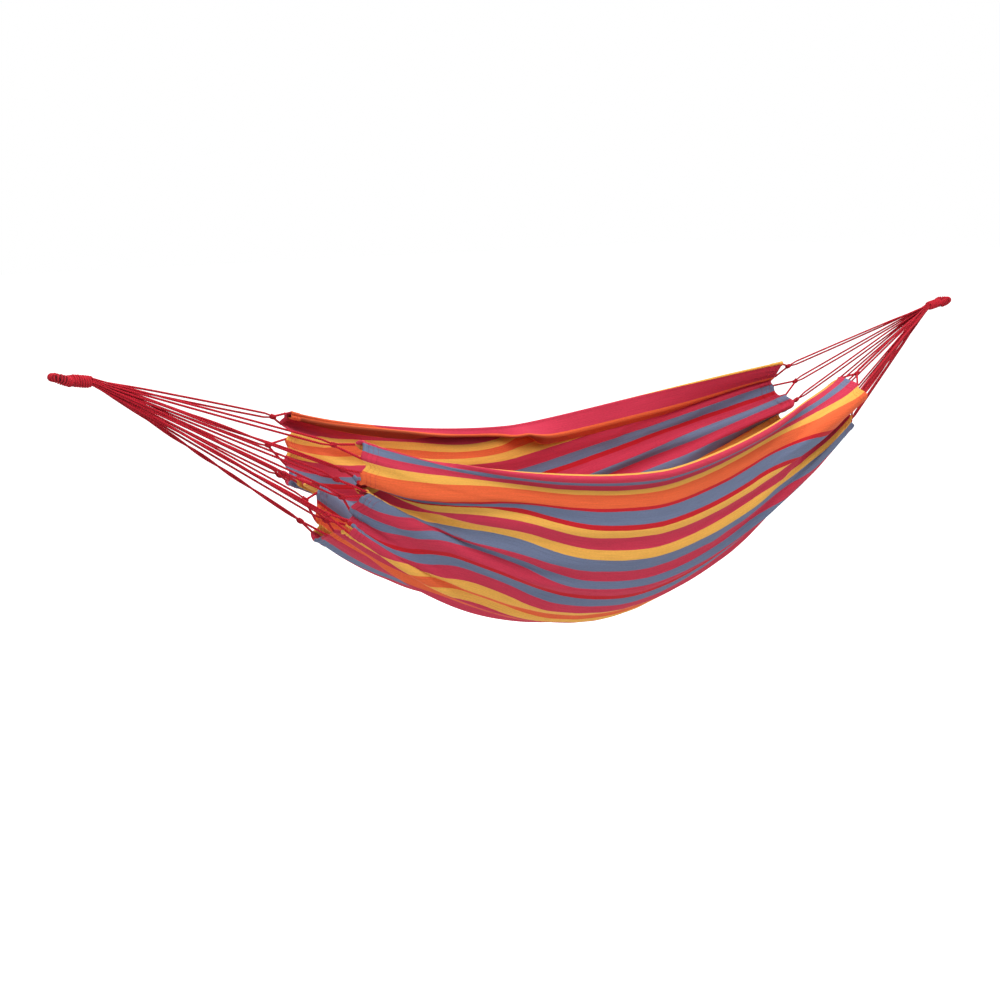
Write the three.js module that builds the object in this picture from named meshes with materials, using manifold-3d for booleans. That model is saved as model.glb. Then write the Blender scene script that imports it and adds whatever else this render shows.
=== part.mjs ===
// Brazilian style double hammock: a striped cloth bed, gathered at both ends by twelve red cords
// that run through hem tunnels and meet in a whipped eye. Hung, empty, between two hooks.
// Millimetres. +Z is up, +X runs from the head eye to the foot eye, the near side is -Y.
// The origin is the spot on the inner crown of the head eye where a hook would bear.
import * as THREE from 'three';
import Module from 'manifold-3d';

const wasm = await Module();
wasm.setup();

// ---- driving dimensions ----------------------------------------------------------------------
const SPAN = 3426;             // hook to hook, along X
const CLOTH_WIDTH = 1516;      // selvedge to selvedge, flat
const WALL_WIDTH = 1501;       // near selvedge to the fold of the far flap, at the head
const CLOTH_THICK = 2.4;       // double layer of woven cotton with its nap
const FOLD_RADIUS = 4;         // how tightly the far selvedge turns over
const FLAP_HEAD = 15;          // width of the turned-over far selvedge, at the head
const FLAP_MID = 38;
const FLAP_FOOT = 83;

const LINES = 12;              // cords at each end
const SECTION_PITCH = WALL_WIDTH / LINES;
const SECTION_MARGIN = 20;     // open hem left at each side of a cord's tunnel
const SECTION_RECESS = 9;      // how far the hem bows back between the two legs of one cord
const GAP_RECESS = 14;         // how far the slack hem between two cords hangs back
const TUNNEL_BORE = 4.6;
const TUNNEL_OUTER = 6.6;
const TUNNEL_STEPS = 3;
const CORNER = 7.5;            // the cord rounds off where it turns into the tunnel
const NECK_CORD_RADIUS = 1.75; // cord squeezed under the collar
const CORD_RADIUS = 2.3;
const LEG_RADIUS = 3.0;        // doubled cord between the knot and the hem
const KNOT_OUTER = 7.4;
const KNOT_BORE = 5.5;
const KNOT_LENGTH = 20;
const STRAND_OFFSET = 2.55;    // the two strands of a cord lie side by side in the knot
const KNOT_NEAR = 44;          // knot to hem, for every other cord
const KNOT_FAR = 74;

const NECK_DROP = 18;          // the collar sits this far below the hook bearing
const COLLAR_START = 38;
const COLLAR_END = 89;
const COLLAR_OUTER = 15.6;
const COLLAR_BORE = 12.7;
const COLLAR_MOUTH = 17.4;     // the collar flares where it takes in the two legs of the eye
const CORE_RADIUS = 6.8;       // rope that forms the eye, at the crown
const CORE_LEG_RADIUS = 8.0;   // the rope swells down its legs, where more strands join it
const CORE_TAIL_RADIUS = 5.5;  // and is squeezed inside the collar
const SERVING_GAP = 0.5;
const SERVING_THICK = 2.4;     // whipping cord wound round the eye
const NECK_PITCH = 4.06;       // spacing of the cords inside the collar
const BEND_LENGTH = 34;        // the bundle turns down over this length

// ---- materials -------------------------------------------------------------------------------
const CLOTH_PINK = 0xc53950;
const CORD_RED = 0xbe1b2e;
const SERVING_RED = 0xc41f33;
const KNOT_RED = 0xa81426;
const CORE_RED = 0x8c1020;

// ---- the hang of the cloth -------------------------------------------------------------------
// Each hem is a folded line: row (mm across the cloth), then y, z and an extra setback of the hem.
// The rows start at the near selvedge and end at the fold of the far flap.
const HEAD_HEM = [
  [0, -206, -240, 0],
  [28, -218, -222, 0],
  [52, -237, -219, 0],
  [77, -245, -240, 0],
  [107, -247, -263, 0],
  [136, -247, -291, 0],
  [172, -242, -318, 0],
  [198, -228, -330, 0],
  [231, -197, -316, 6],
  [268, -208, -341, 6],
  [300, -214, -357, 10],
  [340, -232, -352, 24],
  [385, -236, -362, 20],
  [430, -222, -382, 4],
  [466, -203, -399, 0],
  [500, -187, -424, 0],
  [540, -198, -446, 0],
  [580, -211, -458, 0],
  [612, -192, -474, 2],
  [650, -160, -452, 6],
  [690, -138, -478, 4],
  [730, -112, -478, 0],
  [764, -86, -492, 0],
  [800, -42, -508, 0],
  [829, -6, -522, 0],
  [850, 6, -505, 0],
  [888, -12, -472, 0],
  [946, -10, -419, 0],
  [985, -18, -378, 0],
  [1010, 10, -362, 2],
  [1049, 68, -374, 0],
  [1085, 96, -352, 0],
  [1125, 112, -386, 2],
  [1165, 136, -352, 4],
  [1215, 160, -384, 2],
  [1271, 176, -328, 0],
  [1313, 172, -290, 3],
  [1356, 171, -254, 0],
  [1376, 182, -238, 8],
  [1396, 204, -216, 0],
  [1440, 196, -198, 0],
  [1481, 180, -182, 0],
  [1501, 174, -178, 0],
];
const FOOT_HEM = [
  [0, -140, -232, 0],
  [26, -158, -219, 0],
  [54, -188, -219, 0],
  [84, -218, -227, 0],
  [112, -246, -239, 0],
  [138, -270, -254, 0],
  [156, -273, -274, 0],
  [170, -246, -298, 0],
  [196, -206, -332, 2],
  [235, -166, -312, 6],
  [272, -140, -334, 6],
  [305, -168, -352, 6],
  [340, -202, -344, 4],
  [377, -216, -362, 2],
  [426, -199, -393, 0],
  [466, -152, -410, 0],
  [505, -116, -424, 4],
  [545, -112, -456, 4],
  [590, -82, -478, 0],
  [630, -58, -466, 4],
  [670, -40, -496, 2],
  [715, -8, -510, 0],
  [758, 16, -528, 0],
  [805, 30, -512, 0],
  [845, 14, -478, 4],
  [885, 40, -452, 4],
  [930, 74, -478, 0],
  [975, 98, -446, 0],
  [1015, 66, -420, 4],
  [1055, 78, -388, 4],
  [1095, 114, -402, 0],
  [1135, 122, -366, 0],
  [1175, 88, -350, 4],
  [1215, 58, -330, 2],
  [1255, 84, -300, 0],
  [1300, 124, -306, 0],
  [1345, 146, -278, 12],
  [1400, 144, -236, 0],
  [1455, 122, -203, 0],
  [1501, 96, -180, 0],
];
// The same hems with the gathers smoothed out; the folds fade into these along the cloth.
const HEAD_BASE = [
  [0, -240, -215],
  [375, -222, -372],
  [750, -70, -498],
  [1125, 96, -400],
  [1501, 180, -178],
];
const FOOT_BASE = [
  [0, -176, -210],
  [375, -196, -366],
  [750, -2, -512],
  [1125, 108, -372],
  [1501, 100, -186],
];
const HEAD_HEM_X = 739;         // hem of the head end, at the selvedges
const FOOT_HEM_X = 2690;
const HEM_BELLY = 0.085;        // the hem comes this much nearer its eye per mm of depth
const HEM_TOP_Z = -219;

const MID_NEAR = [-366, -389];  // near selvedge at mid-length, y and z
const MID_FAR = [403, -343];    // fold of the far flap at mid-length
const MID_BOTTOM = -921;
const EDGE_SAG_POWER = 1.55;
const BELLY_SAG_POWER = 1.8;
const DEPTH_POWER = 1.82;
const FOOT_LIFT_NEAR = 34;      // the edges sag a little less towards the foot
const FOOT_LIFT_FAR = 24;
const BELLY_LIFT = 15;          // and the belly hangs deepest a little towards the head
const HEAD_FOLD_REACH = 0.62;   // the gathers fade out over this share of the half length
const FOOT_FOLD_REACH = 0.55;

const SPECK = 0.004;            // detail smaller than this is not kept when bodies are joined

function lerp(a, b, t) {
  return a + (b - a) * t;
}

function smooth(t) {
  const c = Math.min(1, Math.max(0, t));
  return c * c * (3 - 2 * c);
}

// Smooth line through hand-placed points, by Hermite pieces.
function alongKeys(keys, row) {
  let i = 0;
  while (i < keys.length - 2 && row > keys[i + 1][0]) i += 1;
  const a = keys[i];
  const b = keys[i + 1];
  const before = keys[Math.max(0, i - 1)];
  const after = keys[Math.min(keys.length - 1, i + 2)];
  const step = b[0] - a[0];
  const t = Math.min(1, Math.max(0, (row - a[0]) / step));
  const t2 = t * t;
  const t3 = t2 * t;
  const out = [];
  for (let k = 1; k < a.length; k += 1) {
    const slopeA = (b[k] - before[k]) / (b[0] - before[0]);
    const slopeB = (after[k] - a[k]) / (after[0] - a[0]);
    const value = (2 * t3 - 3 * t2 + 1) * a[k] + (t3 - 2 * t2 + t) * step * slopeA
      + (-2 * t3 + 3 * t2) * b[k] + (t3 - t2) * step * slopeB;
    out.push(value);
  }
  return out;
}

// Mid-length section of the bed: a deep pouch, measured out evenly from edge to edge.
const MID_STEPS = 400;
const midLine = [];
for (let i = 0; i <= MID_STEPS; i += 1) {
  const s = (2 * i) / MID_STEPS - 1;
  const side = s < 0 ? MID_NEAR : MID_FAR;
  const a = Math.abs(s);
  const y = side[0] * Math.sin((a * Math.PI) / 2);
  const z = MID_BOTTOM + (side[1] - MID_BOTTOM) * a ** DEPTH_POWER;
  const last = midLine[i - 1];
  const run = last ? last[2] + Math.hypot(y - last[0], z - last[1]) : 0;
  midLine.push([y, z, run]);
}

function midSection(row) {
  const target = (row / WALL_WIDTH) * midLine[MID_STEPS][2];
  let i = 1;
  while (i < MID_STEPS && midLine[i][2] < target) i += 1;
  const a = midLine[i - 1];
  const b = midLine[i];
  const t = (target - a[2]) / (b[2] - a[2]);
  return [lerp(a[0], b[0], t), lerp(a[1], b[1], t)];
}

// Setback of the hem: bowed between the legs of a cord, slack between neighbouring cords.
function hemBow(row) {
  const phase = row / SECTION_PITCH - Math.floor(row / SECTION_PITCH);
  const edge = SECTION_MARGIN / SECTION_PITCH;
  if (phase > edge && phase < 1 - edge) {
    return SECTION_RECESS * Math.sin((Math.PI * (phase - edge)) / (1 - 2 * edge)) ** 2;
  }
  const inGap = phase < edge ? 0.5 + (0.5 * phase) / edge : (0.5 * (phase - 1 + edge)) / edge;
  return GAP_RECESS * Math.sin(Math.PI * inGap) ** 2;
}

function hemPoint(end, row) {
  const keys = end < 0 ? HEAD_HEM : FOOT_HEM;
  const [y, z, setback] = alongKeys(keys, row);
  const inward = setback + hemBow(row) + HEM_BELLY * (z - HEM_TOP_Z);
  const x = end < 0 ? HEAD_HEM_X + inward : FOOT_HEM_X - inward;
  return new THREE.Vector3(x, y, z);
}

// A point of the wall: u runs from -1 at the head hem to +1 at the foot hem.
function wallPoint(u, row) {
  const head = hemPoint(-1, row);
  const foot = hemPoint(1, row);
  const headBase = alongKeys(HEAD_BASE, row);
  const footBase = alongKeys(FOOT_BASE, row);
  const mid = midSection(row);
  const t = (u + 1) / 2;
  const across = Math.abs((2 * row) / WALL_WIDTH - 1);
  const lift = row < WALL_WIDTH / 2 ? FOOT_LIFT_NEAR : FOOT_LIFT_FAR;
  const power = lerp(BELLY_SAG_POWER, EDGE_SAG_POWER, across * across);
  const sag = 1 - Math.abs(u) ** power;
  const spread = 1 - u * u;
  const headFold = 1 - smooth((1 + u) / HEAD_FOLD_REACH);
  const footFold = 1 - smooth((1 - u) / FOOT_FOLD_REACH);
  const y = lerp(headBase[0], footBase[0], t) + spread * (mid[0] - (headBase[0] + footBase[0]) / 2)
    + headFold * (head.y - headBase[0]) + footFold * (foot.y - footBase[0]);
  const z = lerp(headBase[1], footBase[1], t) + sag * (mid[1] - (headBase[1] + footBase[1]) / 2)
    + headFold * (head.z - headBase[1]) + footFold * (foot.z - footBase[1])
    + lerp(BELLY_LIFT, lift, across * across) * u * (1 - u * u);
  return new THREE.Vector3(lerp(head.x, foot.x, t), y, z);
}

function flapWidth(u) {
  return u < 0 ? lerp(FLAP_MID, FLAP_HEAD, u * u) : lerp(FLAP_MID, FLAP_FOOT, u ** 1.3);
}

// The far selvedge turned over to the inside: `down` is the distance from the fold.
function flapPoint(u, down) {
  const fold = wallPoint(u, WALL_WIDTH);
  const below = wallPoint(u, WALL_WIDTH - 45);
  const fall = new THREE.Vector3(0, below.y - fold.y, below.z - fold.z).normalize();
  const inward = new THREE.Vector3(0, fall.z, -fall.y);
  const open = 2 * FOLD_RADIUS + 0.16 * down;
  return fold.clone().addScaledVector(fall, down).addScaledVector(inward, open);
}

function foldCrest(u, angle) {
  const fold = wallPoint(u, WALL_WIDTH);
  const below = wallPoint(u, WALL_WIDTH - 45);
  const fall = new THREE.Vector3(0, below.y - fold.y, below.z - fold.z).normalize();
  const inward = new THREE.Vector3(0, fall.z, -fall.y);
  const out = fold.clone().addScaledVector(inward, FOLD_RADIUS * (1 - Math.cos(angle)));
  return out.addScaledVector(fall, -FOLD_RADIUS * Math.sin(angle));
}

// ---- solids ----------------------------------------------------------------------------------
function solidFrom(points, triangles) {
  const mesh = new wasm.Mesh({
    numProp: 3,
    vertProperties: new Float32Array(points.flatMap((p) => [p.x, p.y, p.z])),
    triVerts: new Uint32Array(triangles.flat()),
  });
  return new wasm.Manifold(mesh);
}

function geometryFrom(points, triangles) {
  const geometry = new THREE.BufferGeometry();
  const numbers = points.flatMap((p) => [p.x, p.y, p.z]);
  geometry.setAttribute('position', new THREE.Float32BufferAttribute(numbers, 3));
  geometry.setIndex(triangles.flat());
  return geometry;
}

function geometryOf(solid) {
  const mesh = solid.getMesh();
  const geometry = new THREE.BufferGeometry();
  geometry.setAttribute('position', new THREE.Float32BufferAttribute(mesh.vertProperties, 3));
  geometry.setIndex(Array.from(mesh.triVerts));
  return geometry;
}

// Rings of points round a path, carried along without twisting, or each kept upright to the start normal.
function ringsAlong(path, radii, sides, start, turn = 0, upright = false) {
  const rings = [];
  let normal = start.clone();
  for (let i = 0; i < path.length; i += 1) {
    const back = path[Math.max(0, i - 1)];
    const ahead = path[Math.min(path.length - 1, i + 1)];
    const tangent = ahead.clone().sub(back).normalize();
    const from = upright ? start : normal;
    normal = from.clone().addScaledVector(tangent, -from.dot(tangent)).normalize();
    const side = new THREE.Vector3().crossVectors(tangent, normal);
    const ring = [];
    for (let k = 0; k < sides; k += 1) {
      const a = turn + (2 * Math.PI * k) / sides;
      const r = Array.isArray(radii) ? radii[i] : radii;
      const p = path[i].clone().addScaledVector(normal, r * Math.cos(a));
      ring.push(p.addScaledVector(side, r * Math.sin(a)));
    }
    rings.push(ring);
  }
  return rings;
}

function skinBetween(triangles, first, second, sides, flip) {
  for (let k = 0; k < sides; k += 1) {
    const n = (k + 1) % sides;
    const quad = [first + k, first + n, second + n, second + k];
    if (flip) quad.reverse();
    triangles.push([quad[0], quad[1], quad[2]], [quad[0], quad[2], quad[3]]);
  }
}

// A solid rope with flat ends, skinned over a row of rings.
function rope(path, radii, sides, start, turn = 0) {
  const rings = ringsAlong(path, radii, sides, start, turn);
  const points = rings.flat();
  const triangles = [];
  for (let i = 0; i + 1 < rings.length; i += 1) {
    skinBetween(triangles, i * sides, (i + 1) * sides, sides, false);
  }
  const last = (rings.length - 1) * sides;
  for (let k = 1; k + 1 < sides; k += 1) {
    triangles.push([0, k + 1, k], [last, last + k, last + k + 1]);
  }
  return { points, triangles };
}

// The same rope as a union of convex links, for paths with sharp turns.
function linkedRope(rings) {
  const links = [];
  for (let i = 0; i + 1 < rings.length; i += 1) {
    const corners = rings[i].concat(rings[i + 1]).map((p) => [p.x, p.y, p.z]);
    links.push(wasm.Manifold.hull(corners));
  }
  return mainBody(wasm.Manifold.union(links));
}

// Joining leaves specks of no volume where links meet; keep the body itself.
function mainBody(solid) {
  return solid.decompose().sort((a, b) => b.volume() - a.volume())[0].simplify(SPECK);
}

// A hollow sleeve, open at both ends.
function sleeve(path, outer, bore, sides, start, turn = 0) {
  const out = ringsAlong(path, outer, sides, start, turn);
  const inn = ringsAlong(path, bore, sides, start, turn);
  const count = path.length;
  const points = out.flat().concat(inn.flat());
  const base = count * sides;
  const triangles = [];
  for (let i = 0; i + 1 < count; i += 1) {
    skinBetween(triangles, i * sides, (i + 1) * sides, sides, false);
    skinBetween(triangles, base + i * sides, base + (i + 1) * sides, sides, true);
  }
  skinBetween(triangles, base, 0, sides, false);
  skinBetween(triangles, (count - 1) * sides, base + (count - 1) * sides, sides, false);
  return { points, triangles };
}

// ---- cords -----------------------------------------------------------------------------------
function neckPoint(end, along, y, z) {
  return new THREE.Vector3(end < 0 ? along : SPAN - along, y, z - NECK_DROP);
}

// Places for the strands inside the collar, packed round the middle.
function neckSlots() {
  const found = [];
  const rise = Math.sqrt(3) / 2;
  for (let i = -6; i <= 6; i += 1) {
    for (let j = -6; j <= 6; j += 1) {
      const y = (i + j / 2 - 0.5) * NECK_PITCH;
      const z = (j - 1 / 3) * rise * NECK_PITCH;
      found.push({ y, z, reach: Math.hypot(y, z) + 1e-4 * i + 1e-6 * j });
    }
  }
  found.sort((a, b) => a.reach - b.reach);
  return found.slice(0, 2 * LINES);
}

function sectionRows(line) {
  return [line * SECTION_PITCH + SECTION_MARGIN, (line + 1) * SECTION_PITCH - SECTION_MARGIN];
}

function cordLayout(end) {
  const neck = neckPoint(end, COLLAR_END + 4, 0, 0);
  const lines = [];
  const mean = new THREE.Vector3();
  for (let line = 0; line < LINES; line += 1) {
    const [from, to] = sectionRows(line);
    const a = hemPoint(end, from);
    const b = hemPoint(end, to);
    const middle = a.clone().add(b).multiplyScalar(0.5);
    const aim = middle.clone().sub(neck).normalize();
    const standoff = line % 2 ? KNOT_NEAR : KNOT_FAR;
    const knot = middle.clone().addScaledVector(aim, -standoff);
    const across = b.clone().sub(a);
    across.addScaledVector(aim, -across.dot(aim)).normalize();
    lines.push({ from, to, a, b, aim, knot, across });
    mean.add(aim);
  }
  mean.normalize();
  const level = new THREE.Vector3(0, 1, 0);
  const lift = new THREE.Vector3().crossVectors(mean, level).normalize();
  if (lift.z < 0) lift.negate();
  const bend = neck.clone().addScaledVector(mean, BEND_LENGTH);
  const slots = neckSlots();
  const ends = [];
  for (const l of lines) {
    for (const sign of [-1, 1]) {
      const p = l.knot.clone().addScaledVector(l.across, sign * STRAND_OFFSET);
      const rel = p.sub(bend);
      ends.push({ y: rel.dot(level), z: rel.dot(lift) });
    }
  }
  const seat = ends.map((e, i) => i);
  const cost = (i, s) => (ends[i].y - slots[s].y) ** 2 + (ends[i].z - slots[s].z) ** 2;
  let swapped = true;
  while (swapped) {
    swapped = false;
    for (let i = 0; i < seat.length; i += 1) {
      for (let j = i + 1; j < seat.length; j += 1) {
        const now = cost(i, seat[i]) + cost(j, seat[j]);
        const then = cost(i, seat[j]) + cost(j, seat[i]);
        if (then < now - 1e-6) {
          [seat[i], seat[j]] = [seat[j], seat[i]];
          swapped = true;
        }
      }
    }
  }
  lines.forEach((l, i) => {
    l.slots = [slots[seat[2 * i]], slots[seat[2 * i + 1]]];
    l.bends = l.slots.map((s) => bend.clone()
      .addScaledVector(level, 1.3 * s.y)
      .addScaledVector(lift, 1.3 * s.z));
  });
  return lines;
}

// One strand from the collar to its knot.
function strandPath(end, l, which) {
  const s = l.slots[which];
  const offset = which === 0 ? -STRAND_OFFSET : STRAND_OFFSET;
  const inKnot = l.knot.clone().addScaledVector(l.across, offset);
  const path = [
    neckPoint(end, COLLAR_END - 15, s.y, s.z),
    neckPoint(end, COLLAR_END + 3, s.y, s.z),
    l.bends[which],
    inKnot.clone().addScaledVector(l.aim, -KNOT_LENGTH),
    inKnot.clone().addScaledVector(l.aim, KNOT_LENGTH / 2),
  ];
  return path;
}

function tunnelPath(end, l) {
  const path = [];
  for (let i = 0; i <= TUNNEL_STEPS; i += 1) {
    path.push(hemPoint(end, lerp(l.from, l.to, i / TUNNEL_STEPS)));
  }
  const last = path.length - 1;
  path[0].add(path[1].clone().sub(path[0]).setLength(CORNER));
  path[last].add(path[last - 1].clone().sub(path[last]).setLength(CORNER));
  return path;
}

// Round the hem: in through one leg, along the tunnel, out through the other leg.
function hemPath(end, l) {
  const path = [];
  const legOut = (tip, offset) => {
    const root = l.knot.clone().addScaledVector(l.across, offset);
    root.addScaledVector(l.aim, KNOT_LENGTH / 2 + 5);
    return [root, tip.clone().add(root.clone().sub(tip).setLength(CORNER))];
  };
  path.push(...legOut(l.a, -STRAND_OFFSET - 0.6));
  path.push(...tunnelPath(end, l));
  path.push(...legOut(l.b, STRAND_OFFSET + 0.6).reverse());
  return path;
}

function cordParts(end) {
  const name = end < 0 ? 'head' : 'foot';
  const lines = cordLayout(end);
  return lines.map((l, i) => {
    const out = strandPath(end, l, 0);
    const hem = hemPath(end, l);
    const back = strandPath(end, l, 1).reverse();
    const path = [...out, ...hem, ...back];
    const inNeck = Array(2).fill(NECK_CORD_RADIUS);
    const strandRadii = [...inNeck, NECK_CORD_RADIUS + 0.1, CORD_RADIUS, CORD_RADIUS];
    const isRoot = (k) => k === 0 || k === hem.length - 1;
    const hemRadii = hem.map((p, k) => (isRoot(k) ? LEG_RADIUS : CORD_RADIUS));
    const radii = [...strandRadii, ...hemRadii, ...strandRadii.slice().reverse()];
    const upright = new THREE.Vector3().crossVectors(l.aim, l.across);
    const cord = linkedRope(ringsAlong(path, radii, 6, upright));
    const boreRings = ringsAlong(path, TUNNEL_BORE, 6, upright);
    const bore = linkedRope(boreRings.slice(out.length, out.length + hem.length));
    const knotPath = [-0.5, 0.5].map((k) => l.knot.clone().addScaledVector(l.aim, k * KNOT_LENGTH));
    const knot = sleeve(knotPath, KNOT_OUTER, KNOT_BORE, 8, l.across, Math.PI / 8);
    const number = String(i + 1).padStart(2, '0');
    return { name, number, line: l, cord, knot, bore };
  });
}

const headCords = cordParts(-1);
const footCords = cordParts(1);

// ---- cloth -----------------------------------------------------------------------------------
function clothSheet() {
  const rows = [];
  const STEP = 30;
  const rowCount = Math.round(WALL_WIDTH / STEP);
  for (let i = 0; i <= rowCount; i += 1) {
    const row = (WALL_WIDTH * i) / rowCount;
    rows.push((u) => wallPoint(u, row));
  }
  rows.push((u) => foldCrest(u, Math.PI * 0.3));
  rows.push((u) => foldCrest(u, Math.PI * 0.7));
  rows.push((u) => flapPoint(u, 0));
  rows.push((u) => flapPoint(u, flapWidth(u) / 2));
  rows.push((u) => flapPoint(u, flapWidth(u)));
  const stations = [-1, -0.97, -0.92, -0.85, -0.75, -0.62, -0.46, -0.28, -0.09];
  const us = stations.concat(stations.map((u) => -u).reverse());
  const grid = rows.map((at) => us.map((u) => at(u)));
  const R = grid.length;
  const C = us.length;
  const tops = [];
  const bottoms = [];
  for (let r = 0; r < R; r += 1) {
    for (let c = 0; c < C; c += 1) {
      const alongRow = grid[r][Math.min(C - 1, c + 1)].clone().sub(grid[r][Math.max(0, c - 1)]);
      const acrossRow = grid[Math.min(R - 1, r + 1)][c].clone().sub(grid[Math.max(0, r - 1)][c]);
      const normal = new THREE.Vector3().crossVectors(alongRow, acrossRow).normalize();
      tops.push(grid[r][c].clone().addScaledVector(normal, CLOTH_THICK / 2));
      bottoms.push(grid[r][c].clone().addScaledVector(normal, -CLOTH_THICK / 2));
    }
  }
  const points = tops.concat(bottoms);
  const under = R * C;
  const triangles = [];
  for (let r = 0; r + 1 < R; r += 1) {
    for (let c = 0; c + 1 < C; c += 1) {
      const i = r * C + c;
      triangles.push([i, i + 1, i + C + 1], [i, i + C + 1, i + C]);
      triangles.push([under + i, under + i + C + 1, under + i + 1]);
      triangles.push([under + i, under + i + C, under + i + C + 1]);
    }
  }
  const rim = [];
  for (let c = 0; c < C - 1; c += 1) rim.push(c);
  for (let r = 0; r < R - 1; r += 1) rim.push(r * C + C - 1);
  for (let c = C - 1; c > 0; c -= 1) rim.push((R - 1) * C + c);
  for (let r = R - 1; r > 0; r -= 1) rim.push(r * C);
  for (let i = 0; i < rim.length; i += 1) {
    const a = rim[i];
    const b = rim[(i + 1) % rim.length];
    triangles.push([a, under + b, b], [a, under + a, under + b]);
  }
  return solidFrom(points, triangles);
}

let cloth = clothSheet();
const sleeves = [];
const bores = [];
for (const c of [...headCords, ...footCords]) {
  const end = c.name === 'head' ? -1 : 1;
  const solid = rope(tunnelPath(end, c.line), TUNNEL_OUTER, 6, c.line.aim);
  sleeves.push(solidFrom(solid.points, solid.triangles));
  bores.push(c.bore);
}
cloth = wasm.Manifold.union([cloth, ...sleeves]);
cloth = wasm.Manifold.difference([cloth, ...bores]);
cloth = mainBody(cloth);

// ---- eyes ------------------------------------------------------------------------------------
// Half of the eye, from the crown down one leg: x, y and the radius of its rope.
const CROWN_X = -SERVING_THICK - SERVING_GAP - CORE_RADIUS;
const EYE_HALF = [
  [CROWN_X, 7, CORE_RADIUS],
  [CROWN_X, 9.5, CORE_RADIUS],
  [-5, 16, CORE_RADIUS],
  [3, 20.5, lerp(CORE_RADIUS, CORE_LEG_RADIUS, 0.4)],
  [12, 20.5, CORE_LEG_RADIUS],
  [22, 16.5, CORE_LEG_RADIUS],
  [29, 12.8, lerp(CORE_TAIL_RADIUS, CORE_LEG_RADIUS, 0.6)],
];
const CORE_TAIL = [
  [38, 8.4, CORE_TAIL_RADIUS],
  [68, 6.0, CORE_TAIL_RADIUS - 0.1],
];

function eyePoint(end, along, y) {
  const fall = Math.min(1, Math.max(0, along / COLLAR_START));
  return neckPoint(end, along, y, NECK_DROP * (1 - fall));
}

function eyeParts(end) {
  const half = [...EYE_HALF, ...CORE_TAIL];
  const mirrored = half.slice().reverse().map(([x, y, r]) => [x, -y, r]);
  const whole = [...mirrored, ...half];
  const corePath = whole.map(([x, y]) => eyePoint(end, x, y));
  const coreRadii = whole.map(([x, y, r]) => r);
  const up = new THREE.Vector3(0, 0, 1);
  const tube = (radii, sides) => ringsAlong(corePath, radii, sides, up, Math.PI / sides, true);
  const core = linkedRope(tube(coreRadii, 10));
  const bore = linkedRope(tube(coreRadii.map((r) => r + SERVING_GAP), 10).slice(1, -1));
  const flat = (r) => (r + SERVING_GAP + SERVING_THICK) / Math.cos(Math.PI / 8);
  const served = tube(coreRadii.map(flat), 8).slice(CORE_TAIL.length, -CORE_TAIL.length);
  const serving = mainBody(linkedRope(served).subtract(bore));
  const collarPath = [COLLAR_START, COLLAR_START + 8, COLLAR_END].map((x) => neckPoint(end, x, 0, 0));
  const collar = sleeve(
    collarPath,
    [COLLAR_MOUTH, COLLAR_OUTER + 0.4, COLLAR_OUTER],
    [COLLAR_MOUTH - 2.2, COLLAR_BORE + 1.2, COLLAR_BORE],
    16,
    up,
  );
  return { core, serving, collar };
}

// ---- assembly --------------------------------------------------------------------------------
const hammock = new THREE.Group();
hammock.name = 'rope_hammock';

function add(name, geometry, color, roughness) {
  const material = new THREE.MeshStandardMaterial({ color, roughness, metalness: 0 });
  const mesh = new THREE.Mesh(geometry, material);
  mesh.name = name;
  hammock.add(mesh);
}

add('bed_cloth', geometryOf(cloth), CLOTH_PINK, 0.9);
for (const c of [...headCords, ...footCords]) {
  add(`${c.name}_cord_${c.number}`, geometryOf(c.cord), CORD_RED, 0.85);
  add(`${c.name}_knot_${c.number}`, geometryFrom(c.knot.points, c.knot.triangles), KNOT_RED, 0.85);
}
for (const end of [-1, 1]) {
  const name = end < 0 ? 'head' : 'foot';
  const { core, serving, collar } = eyeParts(end);
  add(`${name}_eye_core`, geometryOf(core), CORE_RED, 0.85);
  add(`${name}_eye_serving`, geometryOf(serving), SERVING_RED, 0.8);
  add(`${name}_collar`, geometryFrom(collar.points, collar.triangles), SERVING_RED, 0.8);
}

export default hammock;
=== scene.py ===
"""A striped cloth hammock with twisted red cords, hung empty: its looks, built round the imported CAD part.

Sizes are in millimetres in the part's frame, and turn into metres where a mesh is made.
The cloth follows the same hem lines and mid-length section as the CAD solids it stands for.
A station, u, runs from -1 at the head hem to 1 at the foot hem, and end is the station of a hem.
A row is a distance across the cloth from the near selvedge.
"""

import math

import bpy
import numpy as np
from mathutils import Matrix, Vector


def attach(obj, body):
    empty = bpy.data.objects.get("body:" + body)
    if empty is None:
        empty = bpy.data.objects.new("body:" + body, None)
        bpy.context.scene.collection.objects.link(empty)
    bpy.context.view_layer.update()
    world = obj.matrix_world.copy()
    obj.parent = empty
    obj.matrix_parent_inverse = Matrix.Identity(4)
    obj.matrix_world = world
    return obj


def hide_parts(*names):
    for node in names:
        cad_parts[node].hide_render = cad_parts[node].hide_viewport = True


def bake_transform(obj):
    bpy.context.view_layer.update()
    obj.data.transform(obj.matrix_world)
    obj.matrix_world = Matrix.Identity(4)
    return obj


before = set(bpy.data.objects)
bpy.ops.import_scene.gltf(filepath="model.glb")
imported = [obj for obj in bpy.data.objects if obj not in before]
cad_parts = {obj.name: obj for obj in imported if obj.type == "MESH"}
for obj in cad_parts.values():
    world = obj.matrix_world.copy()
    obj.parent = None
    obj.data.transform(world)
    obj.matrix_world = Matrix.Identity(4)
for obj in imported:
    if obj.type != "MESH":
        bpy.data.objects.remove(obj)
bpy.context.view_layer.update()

MM = 0.001
END_NAMES = {-1: "head", 1: "foot"}

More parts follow.
